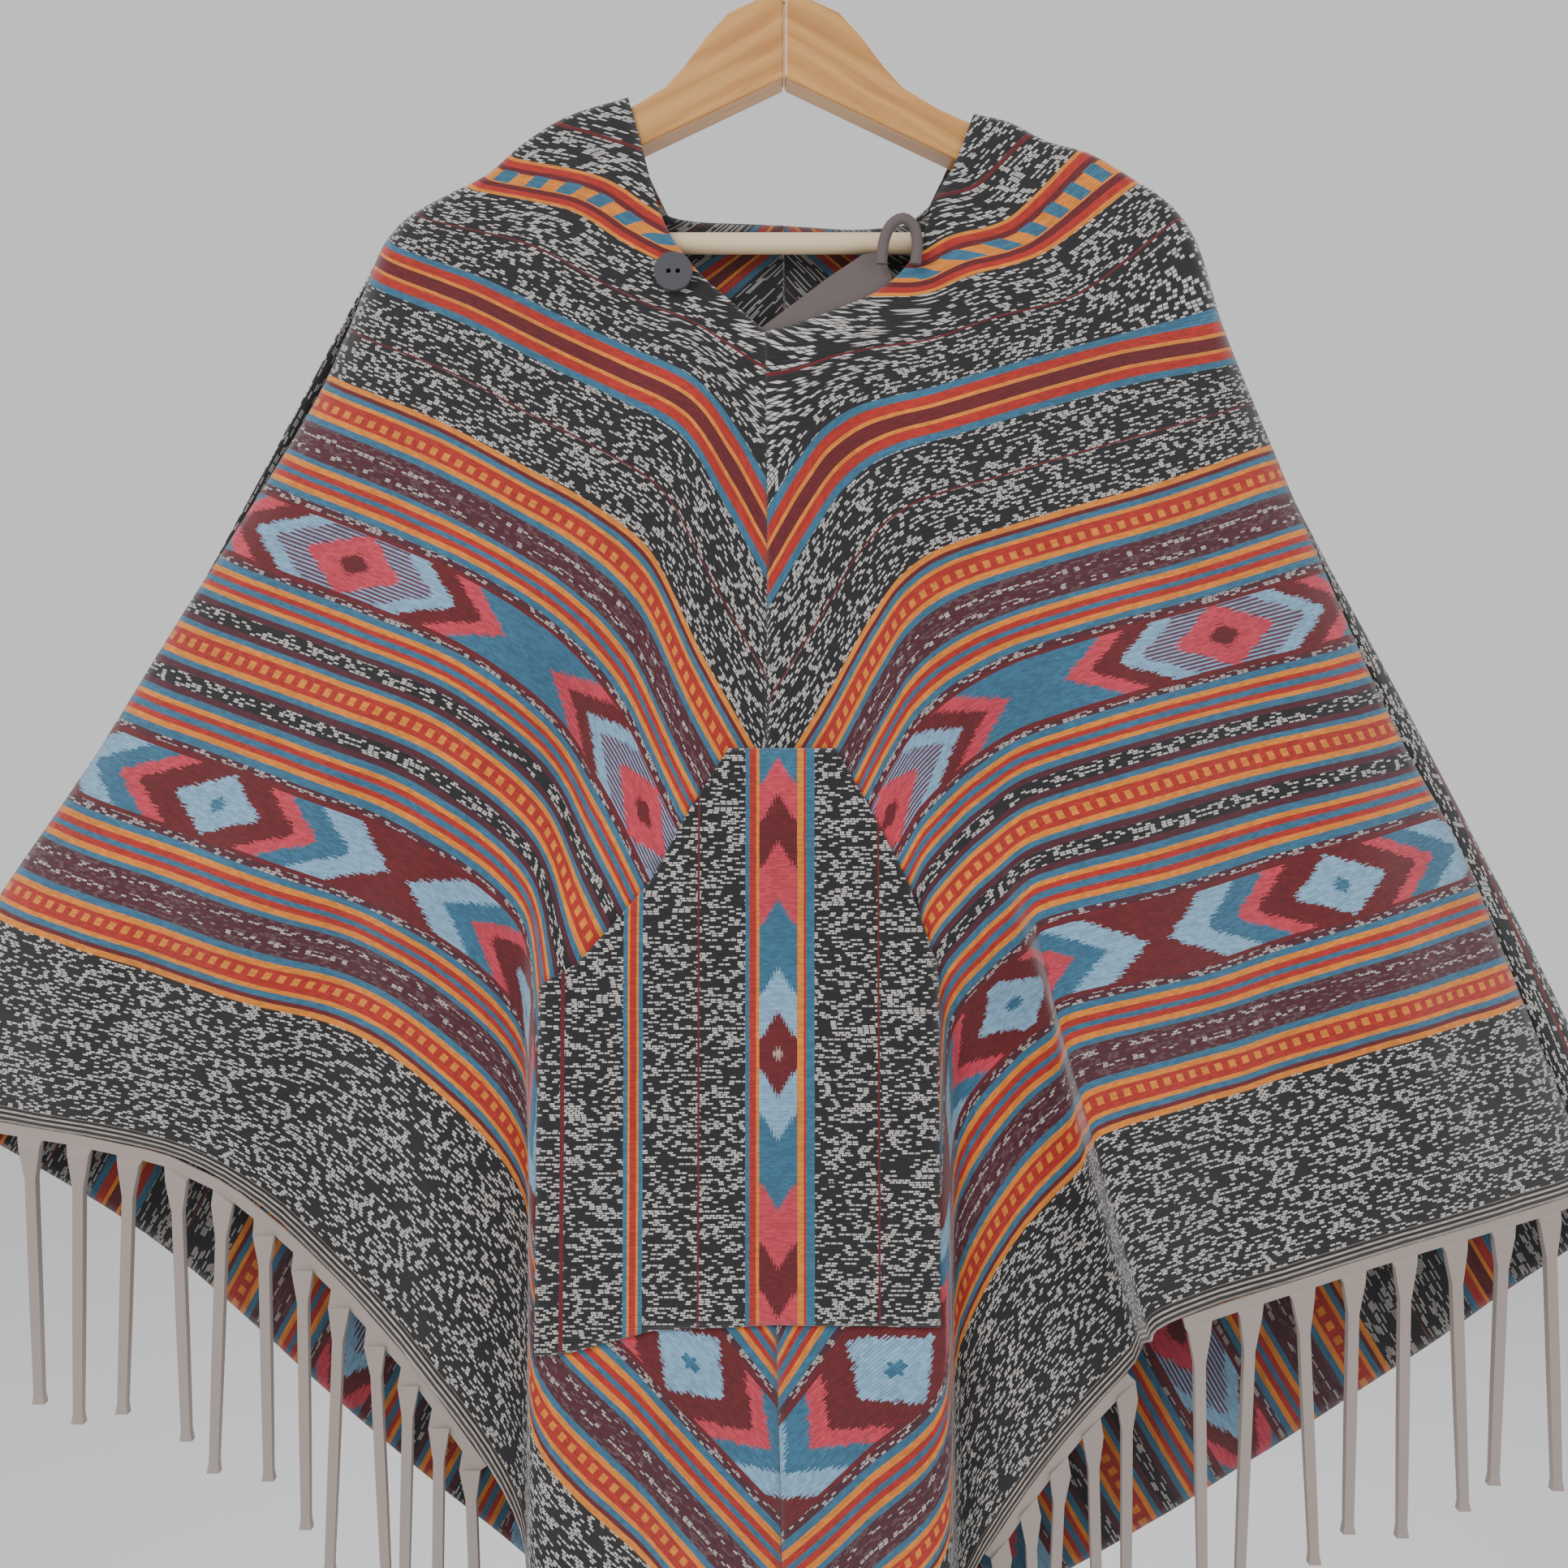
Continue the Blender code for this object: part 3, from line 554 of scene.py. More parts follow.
# Steps from a diamond's centre: start, colour, hatching
UPPER_DIAMOND = (
    (0, DARK_RED, 0.0), (18, PINK, 0.0), (62, PLUM, 1.0), (106, LIGHT_BLUE, 0.0), (136, DARK_RED, 0.0),
    (172, PINK, 0.0), (203, BLUE, 0.0),
)
LOWER_DIAMOND = (
    (0, BLUE, 0.0), (9, LIGHT_BLUE, 0.0), (56, DARK_RED, 0.0), (104, PINK, 0.0), (133, BLUE, 0.0),
    (175, LIGHT_BLUE, 0.0), (225, DARK_RED, 0.0),
)
UPPER_DIAMOND_START = 163.0
LOWER_DIAMOND_START = 182.0
HEM_FROM_NECK = 1450.0
WOVEN_HEM_STEPS = 20.0

# Pocket, in steps from its left edge: start, colour, speckle
POCKET_STRIPES = (
    (-60, BLACK, 1.0), (30, DARK_RED, 0.0), (33, BLACK, 1.0), (103, BLUE, 0.0), (108, ORANGE, 0.0),
    (112, RED, 0.0), (118, ORANGE, 0.0), (122, BLUE, 0.0), (127, BLACK, 1.0), (192, DARK_RED, 0.0),
    (195, BLACK, 1.0), (247, BLUE, 0.0), (254, RED, 0.0), (260, ORANGE, 0.0), (266, DARK_RED, 0.0),
    (311, ORANGE, 0.0), (317, RED, 0.0), (321, BLUE, 0.0), (331, BLACK, 1.0), (406, DARK_RED, 0.0),
    (409, BLACK, 1.0), (479, BLUE, 0.0), (484, ORANGE, 0.0), (488, RED, 0.0), (493, BLACK, 1.0),
)
POCKET_SPAN = (-60.0, 600.0)
POCKET_MOTIF = (266.0, 311.0)
POCKET_DIAMONDS = (
    (0, BEIGE, 0.0), (6, DARK_RED, 0.0), (48, LIGHT_BLUE, 0.0), (100, BLUE, 0.0), (180, PINK, 0.0),
    (250, DARK_RED, 0.0), (305, PINK, 0.0), (350, BLUE, 0.0),
)


def spread(stops: Sequence[tuple], span: tuple[float, float]) -> list[tuple]:
    """Stops in chart steps, as shares of a span."""
    low, high = span
    return [((start - low) / (high - low), colour, beside) for start, colour, beside in stops]


@dataclass(frozen=True)
class ShawlCloth:
    """Brushed shawl cloth: speckled ground, stripes, and diamonds of tied and dyed yarn.

    Args:
        name: The material's name.
        reverse: Whether this is the cloth's dull inner side.
        pocket: Whether the stripes are the pocket's own.
        woven_hem: Whether the last steps are the beige lines above the fringe.
    """

    name: str
    reverse: bool = False
    pocket: bool = False
    woven_hem: bool = False
    row_pitch: float = 1.15
    dash_length: float = 3.3
    dash_share: float = 0.4

    def ground(self, g: Graph, along: Value, across: Value) -> tuple[Value, Value]:
        """The stripes' colour and the share of cream dashes, from millimetres along and across."""
        step = across / STEP
        along_step = along / STEP
        if self.pocket:
            return self.pocket_ground(g, along_step, step)
        top, top_speckle = g.stripes((step - TOP_SPAN[0]) / (TOP_SPAN[1] - TOP_SPAN[0]), spread(TOP_STRIPES, TOP_SPAN))
        checks = step.above(CHECK_ROWS[0]) * step.below(CHECK_ROWS[1])
        checks = checks * (along_step / CHECK_REPEAT).fraction().below(0.5)
        top = g.mix(checks, top, BLUE)
        signed = step - WIDE_CENTRE
        upper = signed.below(0.0)
        out = signed.size() * (upper * (WIDE_UPPER_SCALE - 1) + 1)
        inner, inner_speckle = g.stripes(out / INNER_SPAN[1], spread(INNER_STRIPES, INNER_SPAN))
        outer, outer_speckle = g.stripes(
            (out - OUTER_SPAN[0]) / (OUTER_SPAN[1] - OUTER_SPAN[0]), spread(OUTER_STRIPES, OUTER_SPAN)
        )
        far = out.above(OUTER_SPAN[0])
        wide = g.mix(far, inner, outer)
        wide_speckle = inner_speckle * (1 - far) + outer_speckle * far
        for middle, half in SQUARE_ROWS:
            row = (out - middle).size().below(half)
            wide = g.mix(row * (along_step / SQUARE_REPEAT).fraction().below(0.5), wide, ORANGE)
        ikat = self.diamonds(g, along_step, out, upper)
        inside = out.above(IKAT_SPAN[0]) * out.below(IKAT_SPAN[1])
        wide = g.mix(inside, wide, ikat)
        in_wide = step.above(WIDE_START)
        colour = g.mix(in_wide, top, wide)
        speckle = top_speckle * (1 - in_wide) + wide_speckle * in_wide
        if self.woven_hem:
            from_hem = HEM_FROM_NECK - step
            lines = from_hem.below(WOVEN_HEM_STEPS) * (from_hem / 6.5).fraction().below(0.42)
            colour = g.mix(lines, colour, BEIGE)
            speckle = speckle * (1 - from_hem.below(WOVEN_HEM_STEPS))
        return colour, speckle

    def diamonds(self, g: Graph, along: Value, out: Value, upper: Value) -> Value:
        """The stepped diamonds of the two tied and dyed rows."""
        start = upper * (UPPER_DIAMOND_START - LOWER_DIAMOND_START) + LOWER_DIAMOND_START
        height = (out - IKAT_MIDDLE).size()
        stepped = (height / 4.0).floor() * 4.0
        stray = (g.random(height.floor() + 3.0, (along / 90.0).floor()) - 0.5) * 9.0
        reach = (along - start).folded(2 * IKAT_HALF_REPEAT) + stepped * IKAT_SLOPE + stray
        colours = []
        for stops in (UPPER_DIAMOND, LOWER_DIAMOND):
            colour, hatched = g.stripes(reach / IKAT_REACH, spread(stops, (0.0, IKAT_REACH)))
            rows = hatched * (out / 5.0).fraction().below(0.45)
            colours.append(g.mix(rows, colour, LIGHT_BLUE))
        return g.mix(upper, colours[1], colours[0])

    def pocket_ground(self, g: Graph, along: Value, step: Value) -> tuple[Value, Value]:
        """The pocket's own stripes, with one upright column of diamonds."""
        span = POCKET_SPAN[1] - POCKET_SPAN[0]
        colour, speckle = g.stripes((step - POCKET_SPAN[0]) / span, spread(POCKET_STRIPES, POCKET_SPAN))
        middle = (POCKET_MOTIF[0] + POCKET_MOTIF[1]) / 2
        off = (step - middle).size()
        stepped = (off / 3.0).floor() * 3.0
        stray = (g.random(step.floor(), 5.0) - 0.5) * 8.0
        reach = (along.size() + stepped * 1.6 + stray) / 400.0
        motif, _ = g.stripes(reach, spread(POCKET_DIAMONDS, (0.0, 400.0)))
        inside = step.above(POCKET_MOTIF[0]) * step.below(POCKET_MOTIF[1])
        return g.mix(inside, colour, motif), speckle

    def material(self) -> bpy.types.Material:
        """Build the material."""
        g = Graph(self.name, Roughness=0.95, Specular_IOR_Level=0.15, Sheen_Weight=0.35, Sheen_Roughness=0.6)
        along, across = g.cloth_place()
        place = g.vector(along, across)
        drift = (g.clouds(place, 0.05) - 0.5) * 1.6
        along_yarn, across_yarn = (across, along) if self.pocket else (along, across)
        row_place = across_yarn / self.row_pitch
        row = row_place.floor()
        in_row = row_place.fraction()
        length = self.dash_length * (1.7 if self.reverse else 1.0)
        dash_place = along_yarn / length + g.random(row, 1.0) * 7.3
        dash = dash_place.floor()
        in_dash = dash_place.fraction()
        thick = g.clouds(place, 0.03) - 0.5
        lit = g.random(row, dash).below(self.dash_share + thick * 0.35)
        shape = in_dash.above(0.1) * in_dash.below(0.92) * in_row.above(0.14) * in_row.below(0.9)
        colour, speckle = self.ground(g, along, across + drift * 0.3)
        tone = g.random(row, dash + 40.0) * 0.36 + 0.82
        broad = g.clouds(place, 0.012, 3.0) * 0.5 + 0.75
        gap = 1 - in_row.below(0.16) * 0.55
        colour = g.dimmed(colour, tone * broad * gap)
        fleck = lit * shape * speckle
        cream = g.dimmed(g.mix(0.0, CREAM, CREAM), tone)
        colour = g.mix(fleck * (0.7 if self.reverse else 0.92), colour, cream)
        if self.reverse:
            colour = g.mix(0.35, colour, BLACK)
        rise = (in_row * math.pi).wave() * 0.6 + fleck * 0.25 + g.clouds(place, 0.6) * 0.5
        return g.finish(Base_Color=colour, Normal=g.bump(rise, 0.55, 0.0006))


@dataclass(frozen=True)
class TwistedYarn:
    """Fringe and sewing yarn, light or dark by each strand's own shade."""

    name: str
    light: Colour = BEIGE
    dark: Colour = (0.03, 0.027, 0.027)

    def material(self) -> bpy.types.Material:
        """Build the material."""
        g = Graph(self.name, Roughness=0.9, Specular_IOR_Level=0.2, Sheen_Weight=0.3)
        place = g.object_place()
        fibre = g.clouds(place, 900.0, 3.0)
        colour = g.mix(g.attribute("shade"), self.light, self.dark)
        colour = g.dimmed(colour, fibre * 0.9 + 0.6)
        return g.finish(Base_Color=colour, Normal=g.bump(fibre, 0.5, 0.0005))


@dataclass(frozen=True)
class Pine:
    """Golden varnished pine with long grain.

    Args:
        name: The material's name.
        slope: The grain's slope, in radians.
        pale: Whether this is the plain rod.
    """

    name: str
    slope: float
    pale: bool = False

    def material(self) -> bpy.types.Material:
        """Build the material."""
        rough, coat = (0.6, 0.0) if self.pale else (0.32, 0.35)
        g = Graph(self.name, Roughness=rough, Coat_Weight=coat, Coat_Roughness=0.2)
        turned = g.node(
            "ShaderNodeMapping", {}, {"Vector": g.object_place(), "Rotation": (0.0, self.slope, 0.0)}
        )
        x, y, z = g.parts(Value(g, turned.outputs[0]))
        long = g.vector(x * 9.0, y * 60.0, z * 75.0)
        wander = g.clouds(long, 1.2, 4.0)
        rings = ((z * 520.0 + y * 160.0 + wander * 9.0).wave() * 0.5 + 0.5)
        pores = g.clouds(g.vector(x * 60.0, y * 900.0, z * 900.0), 1.0, 2.0)
        light, dark = ((0.72, 0.5, 0.27), (0.6, 0.38, 0.19)) if self.pale else ((0.62, 0.31, 0.085), (0.4, 0.15, 0.03))
        colour = g.mix(rings * (wander * 1.1), light, dark)
        colour = g.dimmed(colour, pores * 0.35 + 0.85)
        return g.finish(Base_Color=colour, Normal=g.bump(pores + rings * 0.3, 0.12, 0.0005))


@dataclass(frozen=True)
class PlainFinish:
    """Moulded or drawn material with a fine mottle."""

    name: str
    colour: Colour
    roughness: float
    metallic: float = 0.0
    scale: float = 400.0

    def material(self) -> bpy.types.Material:
        """Build the material."""
        g = Graph(self.name, Metallic=self.metallic)
        spots = g.clouds(g.object_place(), self.scale, 4.0)
        colour = g.dimmed(g.mix(0.0, self.colour, self.colour), spots * 0.5 + 0.75)
        rough = spots * 0.15 + self.roughness
        return g.finish(Base_Color=colour, Roughness=rough, Normal=g.bump(spots, 0.08, 0.0004))


def mesh_object(name: str, points: np.ndarray, faces: Sequence[Sequence[int]]) -> bpy.types.Object:
    """Link a smooth mesh.

    Args:
        name: The piece's name.
        points: Its points in millimetres.
        faces: Its faces.

    Returns:
        The object.
    """
    mesh = bpy.data.meshes.new(name)
    mesh.from_pydata((points * MM).tolist(), [], faces)
    mesh.update()
    mesh.polygons.foreach_set("use_smooth", [True] * len(mesh.polygons))
    item = bpy.data.objects.new(name, mesh)
    bpy.context.scene.collection.objects.link(item)
    return item


def settle(item: bpy.types.Object, slot: Slot, *nodes: str) -> bpy.types.Object:
    """Fix a finished piece to the body and hide the solids that it stands for."""
    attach(item, BODY)
    if nodes:
        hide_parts(*nodes)
    log.info("%s: %d faces", item.name, len(item.data.polygons))
    return item


@dataclass
class ClothShell:
    """A thin closed shell of cloth on a grid of points.

    Args:
        name: The piece's name.
        grid: Points in millimetres, by row and column.
        cloth_map: Metres along and across the stripes at each point.
        outward: A direction that the cloth's right side mostly faces.
        wall: The cloth's thickness in millimetres.
    """

    name: str
    grid: np.ndarray
    cloth_map: np.ndarray
    outward: Point3
    wall: float = 1.6

    def build(self) -> bpy.types.Object:
        """Make the shell, its right side in material 0 and its inner side in 1."""
        rows, columns = self.grid.shape[:2]
        normals = grid_normals(self.grid)
        turned = np.sum(normals * np.array(self.outward)) < 0
        if turned:
            normals = -normals
        skins = np.concatenate([self.grid + normals * self.wall / 2, self.grid - normals * self.wall / 2])
        count = rows * columns
        corner = (np.arange(rows - 1)[:, None] * columns + np.arange(columns - 1)).ravel()
        quads = np.stack([corner, corner + columns, corner + columns + 1, corner + 1], axis=1)
        outer = quads[:, ::-1] if turned else quads
        inner = (quads if turned else quads[:, ::-1]) + count
        border = [j for j in range(columns)]
        border += [i * columns + columns - 1 for i in range(1, rows)]
        border += [(rows - 1) * columns + j for j in range(columns - 2, -1, -1)]
        border += [i * columns for i in range(rows - 2, 0, -1)]
        ring = np.array(border)
        after = np.roll(ring, -1)
        rim = np.stack([ring, after, after + count, ring + count], axis=1)
        if turned:
            rim = rim[:, ::-1]
        faces = np.concatenate([outer, inner, rim])
        item = mesh_object(self.name, skins.reshape(-1, 3), faces.tolist())
        layer = item.data.uv_layers.new(name="cloth")
        flat = np.concatenate([self.cloth_map.reshape(-1, 2)] * 2)
        layer.data.foreach_set("uv", flat[faces.ravel()].astype(np.float32).ravel())
        sides = np.concatenate([np.zeros(len(outer)), np.ones(len(inner)), np.zeros(len(rim))])
        item.data.polygons.foreach_set("material_index", sides.astype(np.int32))
        return item


def cloth_area(grid: np.ndarray) -> float:
    """The area of a grid of points in millimetres, in square metres."""
    down, across = grid[1:, :-1] - grid[:-1, :-1], grid[:-1, 1:] - grid[:-1, :-1]
    return float(np.linalg.norm(np.cross(down, across), axis=2).sum()) * MM * MM


@dataclass
class Panel:
    """Half of the front or the back.

    Args:
        name: The piece and the solid that it stands for.
        sections: Its sections from the neck to the hem.
        neck: Distance from the hem along the neck's section.
        shoulder: Its shoulder seam over the hanger's arm.
        facing: Whether it is a front or a back.
        side: -1 for the left, 1 for the right.
        folds: Its folds.
    """

    name: str
    sections: tuple[Section, ...]
    neck: tuple[float, ...]
    shoulder: tuple[tuple[float, float], ...]
    facing: Facing
    side: int
    folds: tuple[Fold, ...]
    pitch: float = 5.0
    seam_gap: float = 0.5
    leg: float = 0.76
    grid: np.ndarray = field(init=False)
    hem_distance: np.ndarray = field(init=False)

    def __post_init__(self) -> None:
        """Work out the panel's points."""
        lattice = self.lattice()
        row_lengths = np.linalg.norm(np.diff(lattice[:, :, :3], axis=0), axis=2).mean(axis=1)
        column_lengths = np.linalg.norm(np.diff(lattice[:, :, :3], axis=1), axis=2).mean(axis=0)
        fine = smooth_through(lattice, fine_places(row_lengths, self.pitch))
        fine = np.swapaxes(fine, 0, 1)
        fine = smooth_through(fine, fine_places(column_lengths, self.pitch))
        fine = np.swapaxes(fine, 0, 1)
        self.grid, self.hem_distance = fine[:, :, :3].copy(), fine[:, :, 3]
        self.crease()
        self.meet_seam()

    def lattice(self) -> np.ndarray:
        """Section points as x, y, z and distance from the hem."""
        rows = []
        for number, section in enumerate(self.sections):
            hems = self.neck if number == 0 else (section.hem,) * len(section.points)
            rows.append([(x, y, z, hem) for (x, z, y), hem in zip(section.points, hems)])
        neck, tip = np.array(rows[0]), np.array(rows[1])
        between = []
        for count, (x, z) in enumerate(self.shoulder, start=1):
            share = count / (len(self.shoulder) + 1)
            line = neck + (tip - neck) * share
            offset = line[1] - line[0]
            line[0, 0], line[0, 1], line[0, 2] = x, neck[0, 1], z
            line[1, 0], line[1, 2] = x + offset[0], z + offset[2]
            between.append(line.tolist())
        return np.array([rows[0], *between, *rows[1:]], float)

    def crease(self) -> None:
        """Raise the folds and a faint unevenness."""
        x, z = self.grid[:, :, 0], self.grid[:, :, 2]
        free = np.clip((self.hem_distance.max() - self.hem_distance) / 90.0, 0, 1)
        out = np.zeros_like(x)
        for fold in self.folds:
            start, end = np.array(fold.start), np.array(fold.end)
            run = end - start
            share = ((x - start[0]) * run[0] + (z - start[1]) * run[1]) / (run @ run)
            near = np.clip(share, 0, 1)
            gap = np.hypot(x - start[0] - run[0] * near, z - start[1] - run[1] * near)
            fade = np.clip(np.minimum(share + 0.1, 1.1 - share) * 3.0, 0, 1)
            out += fold.rise * np.exp(-((gap / fold.width) ** 2)) * fade
        out += (ripple(self.grid, 46.0, 3.0 * self.side) * 1.3 + ripple(self.grid, 19.0, 11.0) * 0.5) * free
        edge = np.minimum(1.0, np.abs(np.arange(self.grid.shape[1])) / 8.0)
        self.grid[:, :, 1] += self.facing.value * out * edge

    def meet_seam(self) -> None:
        """Bring the last column to the centre seam, a little sunk where it is sewn."""
        last = self.grid[:, -1]
        if self.facing is Facing.FRONT:
            z, x, y = (np.array(column) for column in zip(*FRONT_SEAM))
            target_x, target_y = np.interp(last[:, 2], z, x), np.interp(last[:, 2], z, y)
        else:
            target_x, target_y = np.zeros(len(last)), last[:, 1].copy()
        target_x = target_x + self.side * self.seam_gap / 2
        reach = np.abs(self.grid[:, :, 0] - last[:, :1])
        weight = np.exp(-((reach / 14.0) ** 2))
        self.grid[:, :, 1] += weight * (target_y - last[:, 1])[:, None]
        self.grid[:, :, 1] -= self.facing.value * 1.1 * np.exp(-((reach / 2.6) ** 2))
        self.grid[:, -1, 0] = target_x

    def cloth_map(self) -> np.ndarray:
        """Metres along and across the stripes."""
        steps = np.linalg.norm(np.diff(self.grid, axis=1), axis=2)
        from_side = np.concatenate([np.zeros((len(steps), 1)), np.cumsum(steps, axis=1)], axis=1)
        if self.facing is Facing.FRONT:
            return np.stack([from_side, HEM_FROM_NECK * STEP - self.hem_distance], axis=2) * MM
        return np.stack([self.hem_distance, from_side + 2.0], axis=2) * MM

    def build(self) -> bpy.types.Object:
        """Make the panel's shell."""
        item = ClothShell(f"{self.name}_cloth", self.grid, self.cloth_map(), (0, self.facing.value, 0)).build()
        front = self.facing is Facing.FRONT
        return self.dress(item, ShawlCloth(f"{self.name}_face", woven_hem=front))

    def dress(self, item: bpy.types.Object, cloth: ShawlCloth) -> bpy.types.Object:
        item.data.materials.append(cloth.material())
        inner = ShawlCloth(f"{self.name}_inner", reverse=True, woven_hem=cloth.woven_hem)
        item.data.materials.append(inner.material())
        settle(item, Slot.CLOTH, self.name)
        log.info("%s: %.3f square metres", self.name, cloth_area(self.grid))
        return item


@dataclass
class Hood:
    """The two halves of the hood, a flat bag behind the back, open at its mouth."""

    # Share of the way from mouth to tip, half width, middle depth, thickness
    rounds: tuple = (
        (0.0, 1.00, 24, 19.2), (0.12, 1.06, 27, 22), (0.3, 1.22, 33, 30),
        (0.55, 1.20, 35, 32), (0.8, 0.80, 34, 26), (1.0, 0.14, 28, 9),
    )
    # Mouth, x and z
    mouth: tuple = ((-84, -123), (-74, -156), (-62, -181), (0, -184), (62, -188), (80, -172), (98, -134))
    half_widths: dict = field(default_factory=lambda: {-1: 84.0, 1: 98.0})
    tip_z: float = -520.0
    rows: int = 80
    columns: int = 84
    seam_gap: float = 0.5
    flat: tuple = (0.36, 0.24)
    cut_areas: dict = field(default_factory=lambda: {-1: 0.06, 1: 0.069})

    def grid(self, side: int) -> np.ndarray:
        """Points of one half, from its mouth down and from its inner centre round to its outer centre."""
        share = np.linspace(0, 1, self.rows + 1)[:, None]
        angle = np.linspace(0, math.pi, self.columns + 1)[None, :]
        key, *table = (np.array(column, float) for column in zip(*self.rounds))
        width, middle, thick = (np.interp(share, key, column) for column in table)
        mouth_x, mouth_z = (np.array(column, float) for column in zip(*self.mouth))
        half = self.half_widths[side]
        top = np.interp(side * half * np.sin(angle), mouth_x, mouth_z)
        x = side * (half * width * np.sin(angle) + self.seam_gap / 2)
        y = middle - thick / 2 * np.cos(angle)
        z = top + (self.tip_z - top) * share
        grid = np.stack([x + 0 * share, y + 0 * x, z], axis=2)
        outer = np.clip(-np.cos(angle), 0, 1) * np.clip(share * 5, 0, 1)
        grid[:, :, 1] += outer * (ripple(grid, 60.0, 20.0) * 3.0 + ripple(grid, 24.0, 25.0) * 0.9)
        sag = np.exp(-(((share - 0.34) / 0.06) ** 2)) - 0.7 * np.exp(-(((share - 0.47) / 0.05) ** 2))
        grid[:, :, 1] += outer * sag * 3.0 * np.sin(angle)
        return grid

    def build(self) -> list[bpy.types.Object]:
        """Make and dress both halves."""
        made = []
        for side, word in ((-1, "left"), (1, "right")):
            grid = self.grid(side)
            steps = np.linalg.norm(np.diff(grid, axis=0), axis=2)
            down = np.concatenate([np.zeros((1, steps.shape[1])), np.cumsum(steps, axis=0)])
            steps = np.linalg.norm(np.diff(grid, axis=1), axis=2)
            round_it = np.concatenate([np.zeros((len(steps), 1)), np.cumsum(steps, axis=1)], axis=1)
            cloth_map = np.stack([round_it, down + 30.0], axis=2) * MM
            item = ClothShell(f"hood_{word}_cloth", grid, cloth_map, (0, 1, 0)).build()
            item.data.materials.append(ShawlCloth(f"hood_{word}_face").material())
            item.data.materials.append(ShawlCloth(f"hood_{word}_inner", reverse=True).material())
            settle(item, Slot.CLOTH, f"hood_{word}")
            log.info("hood_%s: %.3f square metres", word, cloth_area(grid))
            made.append(item)
        return made


def surface_of(*grids: np.ndarray) -> BVHTree:
    """A tree of cloth grids, for pieces that lie on them."""
    points: list = []
    faces: list = []
    for grid in grids:
        rows, columns = grid.shape[:2]
        corner = (np.arange(rows - 1)[:, None] * columns + np.arange(columns - 1)).ravel() + len(points)
        quads = np.stack([corner, corner + columns, corner + columns + 1, corner + 1], axis=1)
        points.extend(grid.reshape(-1, 3).tolist())
        faces.extend(quads.tolist())
    return BVHTree.FromPolygons(points, faces)


def foremost(surface: BVHTree, x: float, z: float, reach: float) -> float:
    """How far forward the cloth comes round a place, in millimetres."""
    found = []
    for right in (-reach, 0.0, reach):
        for up in (-reach, 0.0, reach):
            hit = surface.ray_cast(Vector((x + right, -200.0, z + up)), Vector((0, 1, 0)))[0]
            if hit is not None and hit.y < 0:
                found.append(hit.y)
    return min(found) if found else -12.0


@dataclass
class Pocket:
    """The pouch pocket, lying on the front."""

    # Height, left edge and right edge
    widths: tuple = (
        (-680, -129, 81), (-596, -128, 81), (-585, -108, 80), (-542, -70, 65), (-505, -50, 46), (-472, -29, 27),
    )
    # Lower edge, x and z
    foot: tuple = ((-130, -787), (-111, -785), (-69, -774), (-6, -771), (82, -772))
    rows: int = 78
    columns: int = 56
    clear: float = 2.1
    flat: tuple = (0.215, 0.315)
    cut_area: float = 0.053
    motif_z: float = -632.0

    def grid(self, surface: BVHTree) -> np.ndarray:
        """The pocket's points, moved out from the front's."""
        foot_x, foot_z = (np.array(column, float) for column in zip(*self.foot))
        keys, lefts, rights = (np.array(column, float) for column in zip(*self.widths))
        top = keys[-1]
        grid = np.zeros((self.rows + 1, self.columns + 1, 3))
        for i in range(self.rows + 1):
            for j in range(self.columns + 1):
                share = j / self.columns
                foot = np.interp(foot_x[0] + (foot_x[-1] - foot_x[0]) * share, foot_x, foot_z)
                z = top + (foot - top) * i / self.rows
                left, right = np.interp(z, keys, lefts), np.interp(z, keys, rights)
                x = left + (right - left) * share
                grid[i, j] = (x, foremost(surface, x, z, 4.0) - self.clear, z)
        return grid

    def build(self, surface: BVHTree) -> bpy.types.Object:
        """Make and dress the pocket."""
        grid = self.grid(surface)
        across = grid[:, :, 0] - self.foot[0][0]
        cloth_map = np.stack([grid[:, :, 2] - self.motif_z, across], axis=2) * MM
        item = ClothShell("pocket_cloth", grid, cloth_map, (0, -1, 0), wall=1.5).build()
        item.data.materials.append(ShawlCloth("pocket_face", pocket=True).material())
        item.data.materials.append(ShawlCloth("pocket_inner", pocket=True, reverse=True).material())
        settle(item, Slot.CLOTH, "pocket")
        log.info("pocket: %.3f square metres", cloth_area(grid))
        return item


